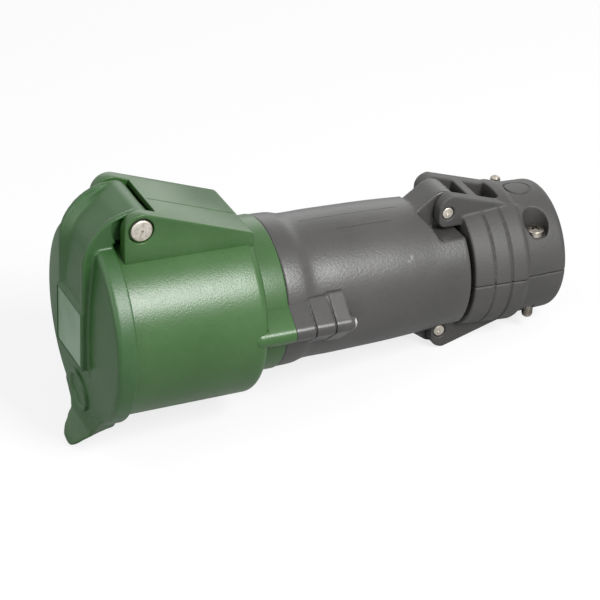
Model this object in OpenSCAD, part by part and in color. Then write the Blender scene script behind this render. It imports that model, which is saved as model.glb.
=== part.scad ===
// Industrial power coupler: a portable five contact socket with a sprung flap lid,
// a handle and a two jaw cable clamp. X is the coupler axis, the mouth is at x = 0 and
// faces -X, the lid's hinge is on top. Lengths are in millimetres, angles in degrees.

/* [Head] */
// Outer radius of the head barrel at the mouth
head_r = 40.5; // [39.9:0.1:41.5]
// How much the barrel radius shrinks towards its rear
head_draft = 0.4; // [0.2:0.1:0.8]
// Length of the head barrel
head_len = 63; // [61:0.5:66]
// Wall of the head barrel
head_wall = 3.4; // [2.8:0.1:4]
// Radius of the rounded rear corner of the barrel
head_round = 4; // [2:0.5:5]
// Outer radius of the collar behind the barrel
collar_r = 32.7; // [32.4:0.1:33.5]
// Length of the collar
collar_len = 11; // [9:0.5:14]
// Inner radius of the collar, where the handle's spigot enters
collar_bore_r = 29.6; // [29.4:0.1:29.8]
// Inner radius of the mouth, the first ring that a plug's collar meets
mouth_r = 37.4; // [37.2:0.1:37.8]
// Depth of the mouth ring
mouth_len = 5.2; // [4.5:0.1:5.3]
// Width of the keyway along the bottom of the shroud
keyway_w = 7; // [5:0.5:9]
// Depth of the keyway in the shroud's wall
keyway_depth = 1.8; // [1:0.1:2]
// Thickness of the wall that closes the plug space at its rear
shoulder_wall = 3.6; // [3:0.1:4.5]
// Where the collar's inner sleeve starts inside the barrel
sleeve_front_x = 46; // [44:0.5:47]
// Length of the lip that stops the contact insert
lip_len = 3; // [2:0.5:4]

/* [Hinge block] */
// Half width of the block on top of the barrel
block_half = 20.5; // [20:0.1:22]
// Half width of the slot between the two cheeks
slot_half = 15.2; // [15:0.1:15.6]
// Distance of the hinge axis behind the mouth
hinge_x = 14.4; // [14:0.1:15]
// Height of the hinge axis over the coupler axis
hinge_z = 48.3; // [48:0.1:49]
// Radius of the cheeks' rounded noses, which the roof touches
nose_r = 7.4; // [7:0.1:7.8]
// Slope of the block's roof
roof_slope = 19.1; // [17:0.1:20]
// Thickness of the roof
roof_wall = 3; // [2.4:0.1:3.4]
// Distance of the roof's front edge behind the hinge axis
roof_gap = 7.3; // [7:0.1:9]
// Length of block that stays solid at its rear
block_rear_wall = 7; // [4:0.5:12]

/* [Lid] */
// How far the rim's outside lies over the barrel
rim_rise = 2.4; // [2.2:0.1:3.5]
// Width of the rim, front to rear
rim_w = 8.4; // [8:0.1:9.5]
// How far the rim reaches in front of the mouth
rim_front = 3.5; // [3.2:0.1:4]
// Radial gap between the rim and the barrel at the rim's root
rim_gap = 0.7; // [0.6:0.05:0.8]
// How much the rim's inside opens towards its rear edge
rim_flare = 0.4; // [0.3:0.05:0.5]
// Radius that rounds the rim's edges
rim_round = 1.1; // [0.6:0.1:1.3]
// Height of the dome in the middle of the lid
dome_h = 2.9; // [1.5:0.1:3.5]
// Wall of the lid
lid_wall = 2.4; // [2:0.1:2.8]
// Half width of the raised arm down the middle of the lid
arm_half = 14.9; // [14.6:0.1:14.9]
// Radius of the arm's bend from the lid's face over to the hinge
arm_r = 23.1; // [22.5:0.1:24]
// Radius of the arm's knuckle round the hinge axis
knuckle_r = 6.6; // [6.2:0.1:6.7]
// Width of each ridge that borders the arm's trough
ridge_w = 2.8; // [2:0.1:3]
// Depth of the trough where the arm bends
trough_depth = 3; // [1.5:0.1:3.2]
// How far the raised band reaches below the coupler axis
band_low = 15; // [14:0.5:20]
// Distance of the lift tab's tip below the coupler axis
tab_drop = 56.2; // [54:0.1:60]
// Radius of the lift tab's tip
tab_tip_r = 8.6; // [7:0.1:10]
// Half width of the lift tab where it leaves the rim
tab_root = 20.5; // [18:0.5:24]
// How far the tab curls forward of the mouth
tab_curl = 10.2; // [6:0.1:11]
// Width of the rating plate
plate_w = 23.6; // [18:0.2:24]
// Height of the rating plate
plate_h = 26.4; // [20:0.2:27]
// Thickness of the rating plate
plate_t = 0.5; // [0.3:0.1:0.8]

/* [Contact insert] */
// Outer radius of the insert's round face
insert_r = 28.4; // [28:0.1:28.5]
// How far the insert's face lies behind the mouth
insert_x = 5.5; // [5.4:0.1:8]
// Radius of the insert's flange
flange_r = 29.3; // [29.1:0.1:29.3]
// Length of the insert's flange
flange_len = 4.6; // [3:0.1:5]
// Outer radius of the insert's terminal end
terminal_end_r = 25.3; // [25.2:0.1:25.5]
// Where the insert's terminal end stops
insert_rear_x = 64; // [62:0.5:66]
// Thickness of the insert's rear plate
back_t = 3; // [2:0.1:4]
// Distance of the contacts' circle inside the terminal end's outer radius
contact_inset = 7.5; // [7.4:0.1:7.8]

/* [Contacts] */
// Radius of a phase or neutral pin
pin_r = 3; // [2.9:0.05:3.1]
// Radius of the earth pin
earth_pin_r = 4; // [3.9:0.05:4.1]
// Radial play of a pin in its sleeve
pin_play = 0.05; // [0.04:0.01:0.1]
// Wall of a contact sleeve
sleeve_wall = 1.55; // [1.2:0.05:1.6]
// Extra radius of the terminal over the sleeve
terminal_extra_r = 0.8; // [0.6:0.05:0.9]
// Depth of a sleeve's bore
sleeve_depth = 30; // [24:1:34]
// Width of the slot that lets a sleeve spring
sleeve_slot = 0.8; // [0.6:0.1:1]
// Radius of a terminal's wire hole
wire_r = 2.9; // [2.4:0.1:3]
// Depth of a terminal's wire hole
wire_depth = 14; // [10:1:16]
// Radius of a terminal screw
terminal_screw_r = 1.95; // [1.5:0.05:2]

/* [Handle] */
// Outer radius of the handle behind the collar
handle_front_r = 32.3; // [32.1:0.1:32.6]
// Outer radius of the handle at its waist
waist_r = 30.9; // [30.6:0.1:31.2]
// Outer radius of the handle at its rear end
handle_rear_r = 28.9; // [28.7:0.1:29.2]
// Where the handle's rear end lies
handle_end_x = 160; // [158:0.5:163]
// Wall of the handle
handle_wall = 3.6; // [3:0.1:4]
// Outer radius of the spigot in the collar
spigot_r = 29.4; // [29.3:0.05:29.5]
// Inner radius of the spigot
spigot_bore_r = 25.9; // [25.7:0.1:26.2]
// Radius of the bore that holds the cable seal
gland_r = 16.5; // [15.5:0.1:16.8]
// Where the gland bore starts
gland_x = 142.8; // [141:0.2:144]
// Inner radius of the throat in front of the cable seal
throat_r = 13.5; // [12:0.5:14.5]
// Height of the flat floor under the clamp's arms
pocket_z = 20.2; // [19.8:0.1:21]
// Half width of the pocket for the arms
pocket_half = 21.4; // [20:0.1:23]
// Half width of each pivot lug
lug_half = 7; // [6.5:0.1:7]
// Radius of each pivot lug round its pin
lug_r = 7.6; // [7:0.1:7.8]

/* [Side rib] */
// Distance of the rib's outer face from the coupler axis
rib_y = 41.1; // [40.8:0.1:42.5]
// Half height of the rib's bar
rib_half = 3.7; // [3:0.1:4.5]
// Length of one of the rib's three grey steps
rib_step_len = 8.8; // [7:0.1:9.5]
// Number of grey steps
rib_steps = 3; // [2:1:4]
// Width of the groove between two steps
rib_groove = 1; // [0.6:0.1:1.4]
// Depth of the groove between two steps
rib_groove_depth = 0.8; // [0.4:0.1:1.2]
// Half height of the rib's foot on the handle
rib_foot = 9.6; // [8:0.1:11]

/* [Cable clamp] */
// Gap between the handle's rear end and the jaws
clamp_gap = 1.8; // [1:0.1:2.2]
// Outer radius of the jaws at their front
ring_front_r = 29.2; // [28.8:0.1:29.6]
// Outer radius of the jaws at their thickest
ring_r = 30.7; // [30.2:0.1:31.2]
// Length of the ribbed ring zone
ring_len = 25.2; // [24:0.2:27]
// Outer radius of the barrel behind the ring zone
barrel_r = 28.9; // [28.4:0.1:29.4]
// Outer radius of the jaws near their end
tail_r = 28.1; // [27.6:0.1:28.4]
// Whole length of the jaws
jaw_len = 44.7; // [43:0.5:47]
// Radius of the jaws' rounded end
tail_round = 3; // [1.5:0.5:3.5]
// Wall of the jaws
jaw_wall = 3.2; // [2.6:0.1:3.6]
// Radius of the saddle that grips the cable
saddle_r = 10; // [8:0.5:11]
// Length of the saddle
saddle_len = 16; // [12:0.5:17]
// Gap between the two jaws
jaw_split = 0.2; // [0.1:0.05:0.4]
// Outer half width of the two pivot arms
arms_half = 12.8; // [12.4:0.1:15]
// Gap between an arm and the lug beside it
arms_play = 0.3; // [0.2:0.05:0.5]
// Height of the arms' lower edge
arms_low = 22; // [21.6:0.1:24]
// Height of the arms' upper edge at the pin
arms_top = 36.2; // [35.5:0.1:37]
// Slope of the arms' upper edge
arms_slope = 16.5; // [15:0.5:18]
// Distance of the arms' nose in front of the pin
arms_nose = 4.2; // [4:0.1:5.5]
// Radius of the upper corner of the arms' nose
arms_round = 6; // [3:0.1:6.5]
// Length of the crossbar between the arms
crossbar_len = 5; // [3:0.5:6]
// Width of a groove round the ring zone
ring_groove = 1.5; // [1:0.1:2]
// Depth of a groove round the ring zone
ring_groove_depth = 0.8; // [0.4:0.1:1.2]

/* [Fasteners] */
// Radius of the hinge pin
hinge_pin_r = 2.5; // [2.2:0.1:2.8]
// Radius of the hinge pin's head
hinge_head_r = 4.7; // [4.3:0.1:5]
// Thickness of the hinge pin's head
hinge_head_t = 2.2; // [1.6:0.1:2.4]
// Width across the flats of the hinge nut
hinge_nut_flats = 8; // [7:0.5:8.5]
// Thickness of the hinge nut
hinge_nut_t = 3.2; // [2.6:0.1:3.4]
// Radius of the wire of the lid's spring
spring_wire_r = 0.6; // [0.5:0.05:0.7]
// Turns of the lid's spring
spring_turns = 6; // [4:1:7]
// Radius of each clamp pivot pin
pivot_r = 2; // [1.8:0.1:2.2]
// Radius of each clamp pivot pin's head
pivot_head_r = 2.6; // [2.4:0.1:2.8]
// Thickness of a pivot pin's head
pivot_head_t = 1.4; // [1:0.1:1.8]
// Distance of the pivot pins from the coupler axis
pivot_z = 28.4; // [28:0.1:29]
// Distance of the pivot pins in front of the handle's rear end
pivot_back = 5; // [4.5:0.1:5.5]
// Depth of a pivot pin's head below its arm's face
pivot_sink = 0.4; // [0.2:0.1:1]
// Radius of a clamp screw
clamp_screw_r = 2.4; // [2.1:0.1:2.6]
// Radius of a clamp screw's head
clamp_head_r = 4.2; // [3.8:0.1:4.5]
// Height of a clamp screw's seat over the split
clamp_seat_z = 15.2; // [14:0.1:16]
// Thickness of a clamp screw's head
clamp_head_t = 3; // [2.4:0.1:3.2]
// How far a clamp screw's tip stands out of the jaw
clamp_tip = 3.8; // [2:0.1:5]
// Distance of the clamp screws from the coupler axis
clamp_screw_y = 18.6; // [18:0.1:19]
// Distance of the clamp screws in front of the jaws' end
clamp_screw_back = 12.4; // [11.5:0.1:13]
// Radius of the pocket round a clamp screw's head
clamp_pocket_r = 5.7; // [5:0.1:6]

/* [Seals] */
// Thickness of the lid's gasket
gasket_t = 1.2; // [0.8:0.1:1.6]
// Radial width of the lid's gasket
gasket_w = 3.4; // [2.5:0.1:4]
// Radius of the head seal's cord
seal_r = 1.1; // [0.9:0.05:1.2]
// Inner radius of the cable seal
cable_seal_bore_r = 9.5; // [7:0.5:11]

/* [Hidden] */
// Overrun of every cut past the face that it leaves
over = 1;
// Clearance round a pin that turns in its bore
turn_play = 0.06;
// Clearance of a fastener or a seated part in its hole
seat_play = 0.1;
// Gap between the lid's gasket and the mouth when the lid is shut
gasket_gap = 0.2;
// Width of small bevels on moulded edges
bevel = 0.8;
// Corner radius of small outlines
corner = 1.5;

shell_fn = 128;
part_fn = 64;
small_fn = 40;

green = "#3d6b3a";
grey = "#55544f";
steel = "#cfc8bc";
rubber = "#222222";
brass = "#c9a34e";
insert_colour = "#2e2e30";

// Head places
head_rear_r = head_r - head_draft;
collar_end_x = head_len + collar_len;
shroud_r = head_r - head_wall - head_draft;
key_outer_r = shroud_r + keyway_depth;
sleeve_outer_r = collar_r - head_draft;
lip_x = sleeve_front_x + lip_len;
plug_floor_x = head_len - shoulder_wall;
roof_front_x = hinge_x + roof_gap;
// Height of the roof's line where it passes over the hinge axis
roof_rise = nose_r / cos(roof_slope);
roof_front_z = hinge_z + roof_rise - roof_gap * tan(roof_slope);
roof_rear_z = hinge_z + roof_rise - (head_len - hinge_x) * tan(roof_slope);
slot_rear_x = head_len - block_rear_wall;
block_foot_z = shroud_r * cos(asin(block_half / shroud_r));

// Lid places
rim_r = head_r + rim_rise;
rim_rear_x = rim_w - rim_front;
rim_inner_r = head_r + rim_gap;
lid_inner_x = -gasket_gap - gasket_t;
bend_z = hinge_z + knuckle_r - arm_r;
band_x = hinge_x - arm_r;
trough_half = arm_half - ridge_w;
tray_depth = plate_t + seat_play;
plate_inset = 0.05;
neck_rear_x = rim_rear_x - corner / 3;
knuckle_gap = 5.4;
// Where the knuckle's bridge over the spring ends, hidden under the roof
bridge_end = 45;
tab_flank = 42;
shallow_share = 0.35;

// Spring places: the rear leg runs down to the barrel, the front leg presses on the lid
spring_r = hinge_pin_r + spring_wire_r + 5 * seat_play;
spring_pitch = 2 * spring_wire_r + seat_play;
spring_half = spring_turns * spring_pitch / 2;
spring_start = -24;
spring_end = 140;
rear_leg = (hinge_z + spring_r * sin(spring_start) - head_r - spring_wire_r / 2 - seat_play)
    / cos(spring_start);
front_leg = 9.6;
ring_sides = 6;
turn_steps = 12;

// Insert places
pitch_r = terminal_end_r - contact_inset;
insert_hole_gap = 0.4;
chamber_play = 0.15;
face_wall = 2.4;
contact_front_x = insert_x + face_wall;
terminal_x = sleeve_front_x;
contact_rear_x = insert_rear_x - seat_play;
flange_x = lip_x + seat_play;
spigot_front_x = flange_x + flange_len + seat_play;
terminal_screw_x = contact_rear_x - wire_depth / 2.6;
contact_names = ["l1", "l2", "l3", "neutral", "earth"];
// Angle of each contact from the top, towards the near side
earth_clock = 60;
contact_angles = [for (i = [0:4]) earth_clock + (i + 1) * 360 / 5];

// Handle places
pivot_x = handle_end_x - pivot_back;
handle_front_x = collar_end_x + seat_play;
seal_x = head_len + collar_len / 2;
seal_groove_r = spigot_r - 1.8 * seal_r;
jaw_x = handle_end_x + clamp_gap;
ring_end_x = jaw_x + ring_len;
jaw_end_x = jaw_x + jaw_len;
clamp_screw_x = jaw_end_x - clamp_screw_back;
saddle_x = jaw_end_x - jaw_wall - saddle_len;
arms_inner = lug_half + arms_play;
crossbar_x = pivot_x + lug_r + 12 * arms_play;
rib_end_x = collar_end_x + rib_steps * rib_step_len;

// Points of an arc about a centre
function arc(centre, r, from, to, steps) =
    [for (i = [0:steps]) let (a = from + (to - from) * i / steps)
        [centre[0] + r * cos(a), centre[1] + r * sin(a)]];

// Turns an outline of [x, radius] points about the coupler axis
module turned(points, fn = shell_fn) {
    rotate([0, 90, 0])
        rotate_extrude($fn = fn)
            polygon([for (p = points) [p[1], p[0]]]);
}

// A round bar along X
module bar_x(x0, x1, r, fn = part_fn) {
    translate([x0, 0, 0])
        rotate([0, 90, 0])
            cylinder(h = x1 - x0, r = r, $fn = fn);
}

// A round bar along Y, at a place in the XZ plane
module bar_y(x, z, y0, y1, r, fn = small_fn) {
    translate([x, y1, z])
        rotate([90, 0, 0])
            cylinder(h = y1 - y0, r = r, $fn = fn);
}

// A solid whose outline lies in the XZ plane, from y0 to y1
module side_slab(points, y0, y1) {
    translate([0, y1, 0])
        rotate([90, 0, 0])
            linear_extrude(height = y1 - y0)
                polygon(points);
}

// A box between two corners
module block(low, high) {
    translate(low)
        cube(high - low);
}

// Puts its children at a contact's place on the pitch circle
module at_contact(i) {
    rotate([contact_angles[i], 0, 0])
        translate([0, 0, pitch_r])
            children();
}

// Outline of the head: barrel, shoulder, collar and inner sleeve
function head_outline() = concat(
    [[0, mouth_r], [0, head_r - bevel], [bevel, head_r]],
    arc([head_len - head_round, head_rear_r - head_round], head_round, 90, 0, 6),
    [[head_len, collar_r + bevel], [head_len + bevel, collar_r],
     [collar_end_x - bevel / 2, collar_r], [collar_end_x, collar_r - bevel / 2],
     [collar_end_x, collar_bore_r], [lip_x, collar_bore_r],
     [lip_x, insert_r + 2 * seat_play], [sleeve_front_x, insert_r + 2 * seat_play],
     [sleeve_front_x, sleeve_outer_r], [plug_floor_x, sleeve_outer_r],
     [plug_floor_x, shroud_r], [mouth_len, shroud_r], [mouth_len, mouth_r]]);

// Side view of the hinge block
function block_outline() = concat(
    [[hinge_x - nose_r, block_foot_z]],
    arc([hinge_x, hinge_z], nose_r, 180, 90 - roof_slope, 10),
    [[head_len - corner, roof_rear_z + corner * tan(roof_slope)],
     [head_len, roof_rear_z - corner / 2],
     [head_len, block_foot_z]]);

// Side view of the space under the block's roof
function slot_outline() =
    let (under = roof_wall / cos(roof_slope))
    [[-over, 0], [-over, hinge_z + 2 * nose_r], [roof_front_x, hinge_z + 2 * nose_r],
     [roof_front_x, roof_front_z - under],
     [slot_rear_x, roof_front_z - under - (slot_rear_x - roof_front_x) * tan(roof_slope)],
     [slot_rear_x, 0]];

// A stretch of the rib with its sloping flanks
module rib_stretch(x0, x1, half, foot) {
    translate([x0, 0, 0])
        rotate([90, 0, 90])
            linear_extrude(height = x1 - x0)
                polygon([[-rib_y, half - bevel], [-rib_y + bevel / 2, half], [-waist_r, foot],
                    [-throat_r - gland_r + corner, foot], [-throat_r - gland_r + corner, -foot],
                    [-waist_r, -foot], [-rib_y + bevel / 2, -half], [-rib_y, -half + bevel]]);
}

module hinge_block() {
    difference() {
        side_slab(block_outline(), -block_half, block_half);
        side_slab(slot_outline(), -slot_half, slot_half);
        bar_x(-over, head_len + over, shroud_r + head_wall / 2, shell_fn);
    }
}

module front_housing() color(green) {
    difference() {
        union() {
            turned(head_outline());
            hinge_block();
            // Rib on the near side: a bar with a round nose over the barrel's corner
            difference() {
                union() {
                    rib_stretch(head_len - bevel, collar_end_x, rib_half, rib_foot);
                    block([head_len - rib_half, -rib_y, -rib_half],
                        [collar_end_x, -collar_r + bevel, rib_half]);
                    bar_y(head_len - rib_half, 0, -rib_y, -collar_r + bevel, rib_half);
                }
                bar_x(0, head_len - shoulder_wall / 2, shroud_r + head_wall / 2, shell_fn);
                bar_x(0, collar_end_x + over, collar_r - bevel, shell_fn);
            }
        }
        // Keyway at the bottom of the shroud
        block([-over, -keyway_w / 2, -key_outer_r],
            [plug_floor_x - corner, keyway_w / 2, -sleeve_outer_r - over]);
        // Hinge bore, the recess of the pin's head and the pocket of its nut
        bar_y(hinge_x, hinge_z, -block_half - over, block_half + over,
            hinge_pin_r + turn_play);
        bar_y(hinge_x, hinge_z, -block_half - over, hinge_head_seat_y(),
            hinge_head_r + 4 * seat_play);
        translate([hinge_x, block_half + over, hinge_z])
            rotate([90, 0, 0])
                cylinder(h = over + hinge_nut_t + 4 * seat_play, r = hinge_nut_r() + seat_play,
                    $fn = 6);
    }
}

function hinge_head_seat_y() = -block_half + hinge_head_t + 4 * seat_play;
function hinge_nut_r() = hinge_nut_flats / 2 / cos(30);

// Outline of the lid's round part: a shallow dome with a skirt round the mouth
function lid_outline() =
    let (edge_r = rim_r - rim_round,
         ball_r = (edge_r * edge_r + dome_h * dome_h) / (2 * dome_h),
         spread = asin(edge_r / ball_r))
    concat(
        [for (i = [0:8]) let (a = spread * i / 8)
            [-rim_front - dome_h + ball_r * (1 - cos(a)), ball_r * sin(a)]],
        arc([-rim_front + rim_round, edge_r], rim_round, 180, 90, 4),
        arc([rim_rear_x - rim_round / 2, rim_r - rim_round / 2], rim_round / 2, 90, 0, 3),
        [[rim_rear_x, rim_inner_r + rim_flare], [0, rim_inner_r], [lid_inner_x, rim_inner_r],
         [lid_inner_x, mouth_r - gasket_w],
         [-rim_front - dome_h * 0 + lid_wall / 4, mouth_r - gasket_w - lid_wall],
         [-rim_front - dome_h + lid_wall, 0]]);

// Side view of the arm: the band on the face, the bend and the top over the hinge
function arm_outline(r, low, rear_x) = concat(
    [[rear_x, low]],
    [[hinge_x - r + lid_wall, low], [hinge_x - r, low + lid_wall * 1.4]],
    arc([hinge_x, bend_z], r, 180, 90, 14),
    [[hinge_x, hinge_z], [rear_x, hinge_z]]);

// What is left after the trough is sunk into the arm's face
module trough() {
    depth_r = arm_r - trough_depth;
    fade = 100;
    low = plate_h / 2 + seat_play;
    side_slab(concat(
        [[band_x - over, low], [band_x + trough_depth * shallow_share, low]],
        arc([hinge_x, bend_z], depth_r, 180, 128, 6),
        [[hinge_x + arm_r * cos(fade), bend_z + arm_r * sin(fade)],
         [hinge_x + arm_r * cos(fade), bend_z + arm_r * sin(fade) + over],
         [band_x - over, bend_z + arm_r + over]]), -trough_half, trough_half);
}

// The hollow behind the arm, above the rim
module arm_hollow() {
    half = trough_half - seat_play;
    inner_r = arm_r - trough_depth - lid_wall * 0.9;
    difference() {
        side_slab(concat(
            [[hinge_x - inner_r, rim_r / 2]],
            arc([hinge_x, bend_z], inner_r, 180, 115, 8),
            [[hinge_x - knuckle_r, bend_z + inner_r * sin(110)],
             [hinge_x - knuckle_r, rim_r / 2]]), -half, half);
        bar_x(-2 * arm_r, hinge_x - knuckle_r, rim_r - rim_gap, shell_fn);
    }
}

// Front view of the lift tab: a round tip with straight flanks up to the rim
function tab_front() =
    let (tip_z = -tab_drop + tab_tip_r,
         root_z = -sqrt(rim_r * rim_r - tab_root * tab_root))
    concat(
        arc([0, tip_z], tab_tip_r, -tab_flank, -180 + tab_flank, 8),
        [[-tab_root, root_z], [0, -rim_r / 2], [tab_root, root_z]]);

// Side view of the lift tab: flat below the rim, then thinner and curled forward
function tab_side() =
    let (drop = tab_drop - rim_r, top_z = -rim_r * cos(tab_flank) - rim_round)
    [[-rim_front - 0.3 * rim_round, top_z], [-rim_front - 0.2 * rim_round, -rim_r],
     [-rim_front - 0.4 * rim_round, -rim_r - 0.25 * drop], [-0.63 * tab_curl, -rim_r - 0.45 * drop],
     [-0.83 * tab_curl, -rim_r - 0.62 * drop], [-0.95 * tab_curl, -rim_r - 0.79 * drop],
     [-tab_curl, -rim_r - 0.91 * drop], [-0.98 * tab_curl, -tab_drop],
     [-0.84 * tab_curl, -tab_drop], [-0.76 * tab_curl, -rim_r - 0.86 * drop],
     [-0.6 * tab_curl, -rim_r - 0.68 * drop], [-0.36 * tab_curl, -rim_r - 0.46 * drop],
     [-0.14 * tab_curl, -rim_r - 0.22 * drop], [-0.05 * tab_curl, -rim_r],
     [-0.05 * tab_curl, -rim_inner_r - rim_gap], [lid_inner_x, -rim_inner_r - rim_gap],
     [lid_inner_x, top_z]];

module lift_tab() {
    intersection() {
        rotate([90, 0, 90])
            translate([0, 0, -2 * tab_curl])
                linear_extrude(height = 4 * tab_curl)
                    polygon(tab_front());
        side_slab(tab_side(), -rim_r, rim_r);
    }
}

// The arm down the lid's middle, up to its knuckle
module lid_arm() {
    side_slab(concat(
        [[neck_rear_x, -band_low], [-rim_front - dome_h, -band_low - lid_wall],
         [band_x + lid_wall, -band_low], [band_x, -band_low + 1.4 * lid_wall]],
        arc([hinge_x, bend_z], arm_r, 180, 112, 10),
        [[neck_rear_x, hinge_z]]), -arm_half, arm_half);
    side_slab(concat(
        arc([hinge_x, bend_z], arm_r, 125, 90, 6),
        arc([hinge_x, bend_z], arm_r - trough_depth - lid_wall, 90, 125, 6)),
        -arm_half, arm_half);
    bar_y(hinge_x, hinge_z, -arm_half, arm_half, knuckle_r, part_fn);
}

// Room for the spring between the two halves of the knuckle
module spring_room() {
    side_slab(concat(
        arc([hinge_x, hinge_z], knuckle_r - lid_wall / 2, bridge_end, 180, 10),
        [[hinge_x - knuckle_r - over, hinge_z], [hinge_x - knuckle_r - over, hinge_z - 2 * knuckle_r],
         [hinge_x + knuckle_r + over, hinge_z - 2 * knuckle_r],
         [hinge_x + knuckle_r + over, hinge_z + (knuckle_r + over) * tan(bridge_end)]]),
        -knuckle_gap, knuckle_gap);
}

module flap_lid() color(green) {
    difference() {
        union() {
            turned(lid_outline());
            // Only the part of the arm in front of the gasket's face or clear of the barrel
            difference() {
                union() {
                    lid_arm();
                    lift_tab();
                }
                bar_x(lid_inner_x - seat_play, hinge_x, rim_inner_r + seat_play, shell_fn);
                bar_x(-rim_front, 0, mouth_r - gasket_w - lid_wall, shell_fn);
            }
        }
        arm_hollow();
        trough();
        spring_room();
        // Tray of the rating plate
        block([band_x - over, -plate_w / 2 - seat_play, -plate_h / 2 - seat_play],
            [band_x + tray_depth, plate_w / 2 + seat_play, plate_h / 2 + 2 * seat_play]);
        // The band is cored from the lid's inside
        block([band_x + 1.25 * lid_wall, -trough_half + bevel, -band_low + lid_wall],
            [lid_inner_x, trough_half - bevel, plate_h / 2 - bevel]);
        bar_y(hinge_x, hinge_z, -arm_half - over, arm_half + over,
            hinge_pin_r + turn_play);
    }
}

module lid_gasket() color(rubber) {
    turned([[lid_inner_x, mouth_r - corner / 5], [lid_inner_x, mouth_r - corner / 5 + gasket_w / 1.2],
        [-gasket_gap, mouth_r - corner / 5 + gasket_w / 1.4], [-gasket_gap, mouth_r]]);
}

module rating_plate() color("#a9b5ad") {
    block([band_x + plate_inset, -plate_w / 2, -plate_h / 2],
        [band_x + plate_inset + plate_t, plate_w / 2, plate_h / 2]);
}

module hinge_pin() color(steel) {
    head_y = hinge_head_seat_y() - seat_play;
    socket_r = hinge_head_r / 3;
    difference() {
        union() {
            bar_y(hinge_x, hinge_z, head_y - hinge_head_t, head_y, hinge_head_r);
            bar_y(hinge_x, hinge_z, head_y, block_half - corner / 2, hinge_pin_r);
        }
        translate([hinge_x, head_y - hinge_head_t + 0.6 * hinge_head_t, hinge_z])
            rotate([90, 0, 0])
                cylinder(h = hinge_head_t, r = socket_r, $fn = 6);
    }
}

module hinge_nut() color(steel) {
    face_y = block_half - 4 * seat_play;
    difference() {
        translate([hinge_x, face_y, hinge_z])
            rotate([90, 0, 0])
                cylinder(h = hinge_nut_t, r = hinge_nut_r(), $fn = 6);
        bar_y(hinge_x, hinge_z, face_y - hinge_nut_t - over, face_y + over,
            hinge_pin_r + turn_play / 2);
    }
}

// Middle of the wire and the direction away from the axis, at a step along the coil
function coil_angle(s) = spring_start + (360 * spring_turns + spring_end - spring_start) * s;
function coil_out(s) = [cos(coil_angle(s)), 0, sin(coil_angle(s))];
function coil_along(s) = [-sin(coil_angle(s)), 0, cos(coil_angle(s))];
function coil_mid(s) = [hinge_x, -spring_half + 2 * spring_half * s, hinge_z]
    + spring_r * coil_out(s);

// One ring of points round the wire
function wire_ring(mid, out) =
    [for (k = [0:ring_sides - 1]) let (a = 360 * k / ring_sides)
        mid + spring_wire_r * (cos(a) * out + sin(a) * [0, 1, 0])];

module lid_spring() color(steel) {
    steps = turn_steps * spring_turns;
    first = coil_mid(0) - rear_leg * coil_along(0);
    last = coil_mid(1) + front_leg * coil_along(1);
    rings = concat(
        [wire_ring(first, coil_out(0))],
        [for (i = [0:steps]) wire_ring(coil_mid(i / steps), coil_out(i / steps))],
        [wire_ring(last, coil_out(1))]);
    count = len(rings);
    points = [for (ring = rings) for (p = ring) p];
    sides = [for (i = [0:count - 2]) for (k = [0:ring_sides - 1])
        let (a = i * ring_sides + k, b = i * ring_sides + (k + 1) % ring_sides)
        [a, a + ring_sides, b + ring_sides, b]];
    polyhedron(points = points, faces = concat(
        [[for (k = [0:ring_sides - 1]) k]],
        sides,
        [[for (k = [0:ring_sides - 1]) count * ring_sides - 1 - k]]));
}

function is_earth(i) = contact_names[i] == "earth";
function contact_pin_r(i) = is_earth(i) ? earth_pin_r : pin_r;
function sleeve_r(i) = contact_pin_r(i) + pin_play + sleeve_wall;
function terminal_r(i) = sleeve_r(i) + terminal_extra_r - (is_earth(i) ? terminal_extra_r / 2 : 0);

module contact_insert() color(insert_colour) {
    difference() {
        turned([[insert_x, 0], [insert_x, insert_r - bevel], [insert_x + bevel, insert_r],
            [flange_x, insert_r], [flange_x, flange_r], [flange_x + flange_len, flange_r],
            [flange_x + flange_len, terminal_end_r], [insert_rear_x, terminal_end_r],
            [insert_rear_x, 0]], part_fn);
        for (i = [0:4])
            at_contact(i) {
                bar_x(insert_x - over, contact_front_x + over,
                    contact_pin_r(i) + insert_hole_gap, small_fn);
                bar_x(contact_front_x, insert_rear_x + over, sleeve_r(i) + chamber_play, small_fn);
                bar_x(terminal_x, insert_rear_x + over, terminal_r(i) + chamber_play, small_fn);
                translate([terminal_screw_x, 0, 0])
                    cylinder(h = terminal_end_r, r = terminal_screw_r + 6 * seat_play,
                        $fn = small_fn);
            }
        bar_x(insert_rear_x - 4 * back_t, insert_rear_x + over, terminal_screw_r - seat_play,
            small_fn);
    }
}

module insert_back() color(insert_colour) {
    difference() {
        bar_x(insert_rear_x, insert_rear_x + back_t, terminal_end_r);
        for (i = [0:4])
            at_contact(i)
                bar_x(insert_rear_x - over, insert_rear_x + back_t + over,
                    wire_r + 5 * seat_play, small_fn);
        bar_x(insert_rear_x - over, insert_rear_x + back_t + over,
            terminal_screw_r + seat_play, small_fn);
    }
}

module insert_screw() color(steel) {
    head_x = insert_rear_x + back_t;
    head_t = 0.8 * back_t;
    difference() {
        union() {
            bar_x(head_x, head_x + head_t, 2 * terminal_screw_r, small_fn);
            bar_x(head_x - 3.6 * back_t, head_x, terminal_screw_r - 2 * seat_play, small_fn);
        }
        block([head_x + head_t / 2, -2 * terminal_screw_r - over, -sleeve_slot / 2],
            [head_x + head_t + over, 2 * terminal_screw_r + over, sleeve_slot / 2]);
    }
}

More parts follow.
